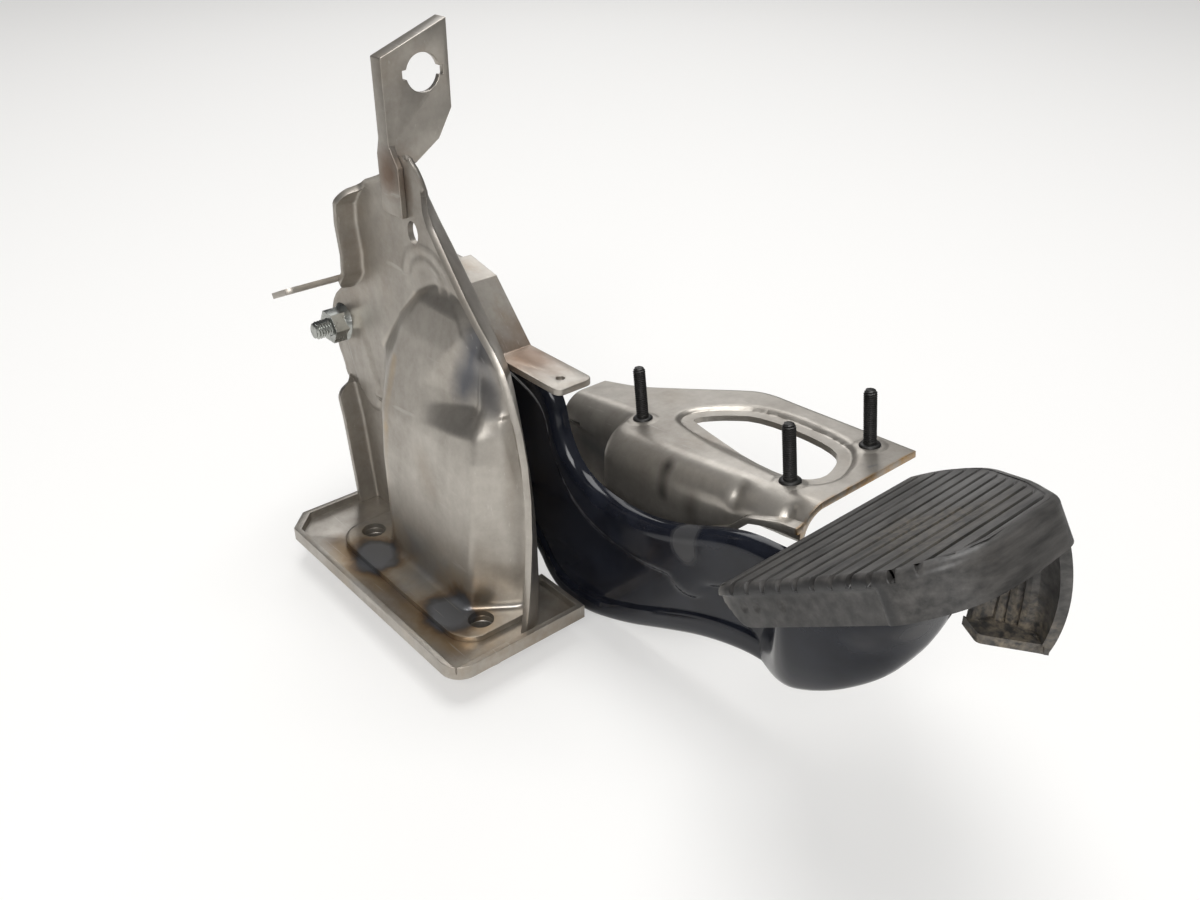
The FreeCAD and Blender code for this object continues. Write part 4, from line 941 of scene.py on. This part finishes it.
# Pad support
# Deep pressed scoop of the same gloss black steel. It widens from the end of the
# arm and closes under the pad plate.
PAD_TILT, PAD_CORNER = math.radians(32.7), (155.0, -36.0, 95.0)
SCOOP_LINE = [
    (139, 66), (138.5, 56), (139, 47), (143, 43.2), (156, 45.6), (172, 52.3), (182, 58.6), (192, 67.6),
    (201, 77.6), (208, 89), (213, 99), (216.5, 112), (218.3, 122),
]
SCOOP_TOP = [
    (146, 72), (150, 78), (156, 85), (164, 91), (170, 96), (178, 101), (186, 106), (194, 111), (201, 116),
    (207, 119.7), (212, 123), (216, 125.6), (218.6, 127.2),
]
SCOOP_FAR, SCOOP_NEAR, SCOOP_ROOT, SCOOP_SHEET = 9.2, -30.5, -8.2, 2.6


def on_pad(along, across_pad, off):
    """A place in the pad's own frame: along its tilt, across it from the near edge, and off its tread."""
    return places(
        PAD_CORNER[0] + along * math.cos(PAD_TILT) - off * math.sin(PAD_TILT),
        PAD_CORNER[1] + across_pad,
        PAD_CORNER[2] + along * math.sin(PAD_TILT) + off * math.cos(PAD_TILT),
    )


def scoop_grid():
    """Rows follow the underside line and columns go round a rounded U section, from one lip to the other.

    The section hangs from the top line as a bowl: its drop is one less the side share to 1.35, raised
    to 0.85.
    """
    line, top = flowing(SCOOP_LINE), flowing(SCOOP_TOP)
    side = np.sin(np.linspace(-math.pi / 2, math.pi / 2, 49))
    drop = (1 - abs(side) ** 1.35) ** 0.85
    wider = ease((line[:, 0] - 142) / 34 + np.linspace(0, 0.3, len(line)))
    near = SCOOP_ROOT + (SCOOP_NEAR - SCOOP_ROOT) * wider
    y = (SCOOP_FAR + near)[:, None] / 2 + (SCOOP_FAR - near)[:, None] / 2 * side
    x = top[:, :1] + (line[:, :1] - top[:, :1]) * drop
    z = top[:, 1:] + (line[:, 1:] - top[:, 1:]) * drop
    return places(x, y, z)


scoop = surface("pad_scoop", quads(scoop_grid()))
thicken(scoop, SCOOP_SHEET, edge=0.0, even=False)
bake(scoop)
finish_piece(scoop, "pad_support", arm_paint("scoop_gloss", 0.12))

# Pad rubber
# Moulded cover, worn and dusty. The tread has twelve lands with grooves that run
# out through the near edge, a deep skirt, and a ribbed pocket under the far corner.
TREAD_EDGE = [
    (0, 0, 1.5), (67, 0, 9), (83, 12, 9), (86, 30, 8), (85, 53, 6), (66, 71, 5), (35, 95, 12), (11, 100, 8),
    (0, 96, 3),
]
TREAD_NEAR = [(0, 2.6), (60, 2.6), (67, 4.2), (74, 8.0), (80, 13.0), (84, 22), (86, 30)]
TREAD_FAR = [
    (0, 93.5), (5, 95.2), (11, 96.3), (20, 95.6), (35, 91.2), (66, 67.2), (80, 54), (85, 48), (86, 40),
]
RIB_PITCH, GROOVE, GROOVE_DEPTH, GROOVES_END = 6.7, 1.6, 2.4, 83
SKIRT, RIM_ROUND, RUBBER_TOP, RUBBER_SIDE, TREAD_SINK = 14.0, 3.0, 4.5, 3.0, 0.05
DIMPLES, DIMPLE_HEIGHT = (9.0, 14.5, 25.0), 0.42
POCKET_TOP = [(196, 40, 107), (201, 47, 110), (217, 33, 120), (231, 17, 130)]
POCKET_FLOOR = [(205, 21, 83), (209, 32, 82.5), (223, 36, 82), (229, 30, 81.5)]
POCKET_FRONT = [(205, 21, 83), (210, 18.6, 82.7), (212.5, 17.4, 82.5), (214.5, 18.6, 82.4), (229, 30, 81.5)]
FLAP_WALL, POCKET_RIBS, POCKET_MIDDLE = 3.4, (0.36, 0.52, 0.68), (215.0, 24.0, 0.0)
RUBBER_LOW, RUBBER_HIGH, DUST = (0.024, 0.023, 0.022), (0.092, 0.087, 0.082), (0.27, 0.225, 0.165)
DUST_SPOTS = [((196, 8, 121), 30, 0.40), ((210, -12, 131), 22, 0.25), ((217, 27, 82), 22, 0.9)]
SIDE_BLACK, RIB_PALE, TORN_PALE = (0.018, 0.018, 0.019), (0.30, 0.28, 0.25), (0.30, 0.285, 0.26)


def rounded(points):
    """A closed line whose corners are parabolas. A point is x, y and the length its corner takes back."""
    points = np.array(points, float)
    turn = np.linspace(0, 1, 10)[:, None]
    bends = []
    for before, corner, after in zip(np.roll(points, 1, axis=0), points, np.roll(points, -1, axis=0)):
        first, last = before[:2] - corner[:2], after[:2] - corner[:2]
        first = corner[:2] + first / np.linalg.norm(first) * corner[2]
        last = corner[:2] + last / np.linalg.norm(last) * corner[2]
        bends.append((1 - turn) ** 2 * first + 2 * turn * (1 - turn) * corner[:2] + turn ** 2 * last)
    return np.concatenate(bends)


def groove_at(along):
    """Depth of the grooves: flat lands, faintly crowned, and soft-sided slots one pitch apart."""
    off = abs((along / RIB_PITCH + 0.5) % 1.0 - 0.5) * RIB_PITCH
    slot = ease((GROOVE / 2 + 0.15 - off) / 0.3)
    inside = (along > RIB_PITCH / 2) & (along < GROOVES_END)
    return np.where(inside, slot * GROOVE_DEPTH + 0.12 * (1 - off / RIB_PITCH * 2) ** 2, 0.0)


def tread_grid():
    """Columns lie at even steps along the tilt, and rows run from the near edge to the far edge."""
    along = np.arange(2.4, 83.6, 0.15)
    near, far = (np.interp(along, *np.array(line).T) for line in (TREAD_NEAR, TREAD_FAR))
    across_pad = near + np.linspace(0, 1, 60)[:, None] * (far - near)
    end = ease((far - across_pad - 1.2) / 3.0)
    sag = 0.5 * np.exp(-((along - 45) / 30) ** 2 - ((across_pad - 50) / 35) ** 2)
    return on_pad(along, across_pad, -groove_at(along) * end - TREAD_SINK - sag)


def rim_grid():
    """Goes round the outline; each section rolls over from the tread, down the skirt and up inside."""
    ring = closed_flow(rounded(TREAD_EDGE), 1100, rounds=0)
    along, across_pad = ring.T
    run = np.roll(ring, -1, axis=0) - np.roll(ring, 1, axis=0)
    inward = np.stack([-run[:, 1], run[:, 0]], axis=1) / np.linalg.norm(run, axis=1)[:, None]
    near_end = ease((6 - across_pad) / 4)
    cut = groove_at(along) * near_end
    torn = np.exp(-((along / 4) ** 2)) * (1 - ease((across_pad - 6) / 8))
    ragged = 0.5 * np.sin(across_pad * 1.9) + 0.4 * np.sin(across_pad * 4.3 + 1) + 0.5 * np.sin(along * 5)
    low = -SKIRT + torn * (8.5 + ragged)
    band = 1 - ease((63 - along) / 2) * near_end
    columns = [(RIM_ROUND, -TREAD_SINK - cut)]
    for turn in np.linspace(0, math.pi / 2, 8)[1:]:
        fall = RIM_ROUND * (1 - math.cos(turn)) + cut * math.cos(turn) ** 0.5
        columns.append((RIM_ROUND * (1 - math.sin(turn)), -fall))
    for share in np.linspace(0.06, 1.0, 16):
        depth = 0.05 + 0.9 * (1 - band) * ease(share / 0.15)
        for dimple in DIMPLES:
            reach = np.hypot(along - dimple, (share - DIMPLE_HEIGHT) * (SKIRT - RIM_ROUND))
            depth = depth + 0.7 * ease((1.7 - reach) / 0.8) * near_end
        columns.append((depth, -RIM_ROUND + share * (low + RIM_ROUND)))
    columns += [(RUBBER_SIDE, low), (RUBBER_SIDE, -RUBBER_TOP)]
    sections = [on_pad(*(ring + inward * np.reshape(depth, (-1, 1))).T, off) for depth, off in columns]
    return np.stack(sections)


def pocket_grid():
    """Rows go down the wall from the skirt to the floor, round a small bend and over the floor to its front.

    The wall blends straight from its top line to the floor line and swells outwards halfway at its right
    end. Three ribs stand on its inside.
    """
    count = 150
    top, base, front = (evenly(flowing(line), count) for line in (POCKET_TOP, POCKET_FLOOR, POCKET_FRONT))
    share = np.linspace(0, 1, count)[:, None]
    inward = np.array(POCKET_MIDDLE) - base * [1, 1, 0]
    inward = inward / np.linalg.norm(inward, axis=1)[:, None]
    rib = sum(np.exp(-((share - spot) / 0.022) ** 2) for spot in POCKET_RIBS)
    rows = []
    for part in np.linspace(0, 1, 26):
        fall = min(part * 1.04, 1.0)
        bend = FLAP_WALL * max(0.0, part - 0.96) / 0.04
        swell = 14 * part * (1 - part) * ease((share - 0.5) / 0.5)
        place = top + fall * (base - top) - inward * swell
        rows.append(place + inward * (FLAP_WALL / 2 + 2.0 * rib * (0.1 < part < 0.93) + bend))
    last = rows[-1]
    for part in np.linspace(0, 1, 12)[1:]:
        rows.append(last + part * (front - last))
    return np.stack(rows)


def worn_rubber(name):
    """Dull black rubber, scuffed grey along its lands, with brown dust in patches and in the pocket."""
    material, tree, shader, place = start_material(name)
    fine, patchy = noise(tree, place, 420, 6, 0.6), noise(tree, place, 30, 5, 0.6)
    streaks = noise(tree, place, 60, 5, 0.6, (5, 0.6, 5), (0, PAD_TILT, 0))
    colour = mixed(tree, spread(tree, streaks, 0.35, 0.72), RUBBER_LOW, RUBBER_HIGH)
    for spot, radius, share in DUST_SPOTS:
        mask = times(tree, round_mask(tree, place, spot, radius * 0.15, radius), share)
        grain = times(tree, spread(tree, fine, 0.40, 0.66), spread(tree, patchy, 0.36, 0.62))
        colour = tinted(tree, colour, mask, grain, DUST)
    colour = tinted(tree, colour, beyond(tree, place, "Y", -34.6, -35.6), 0.8, SIDE_BLACK)
    tops, feet = evenly(flowing(POCKET_TOP), 101), evenly(flowing(POCKET_FLOOR), 101)
    for spot in POCKET_RIBS:
        rib = stripe(tree, place, tops[round(spot * 100)], feet[round(spot * 100)], 0.5, 1.6)
        colour = tinted(tree, colour, rib, 0.7, RIB_PALE)
    torn = stripe(tree, place, (155, -36, 94), (163, -36, 84), 1, 4.5)
    wire(tree, shader, {
        "Base Color": tinted(tree, colour, torn, 0.5, TORN_PALE),
        "Roughness": spread(tree, patchy, 0.4, 0.65, 0.38, 0.62), "Normal": bump(tree, fine, 0.15, 0.0003),
    })
    return material


rubber = worn_rubber("pad_rubber_worn")
cover = surface("pad_cover", quads(tread_grid()), quads(rim_grid(), closed=True))
pocket = surface("pad_pocket", quads(pocket_grid()))
thicken(pocket, FLAP_WALL, edge=0.0, even=False)
bake(pocket)
cover.data.set_sharp_from_angle(angle=math.radians(48))
finish_piece(cover, "pad_rubber", rubber)
finish_piece(pocket, "pad_rubber", rubber)
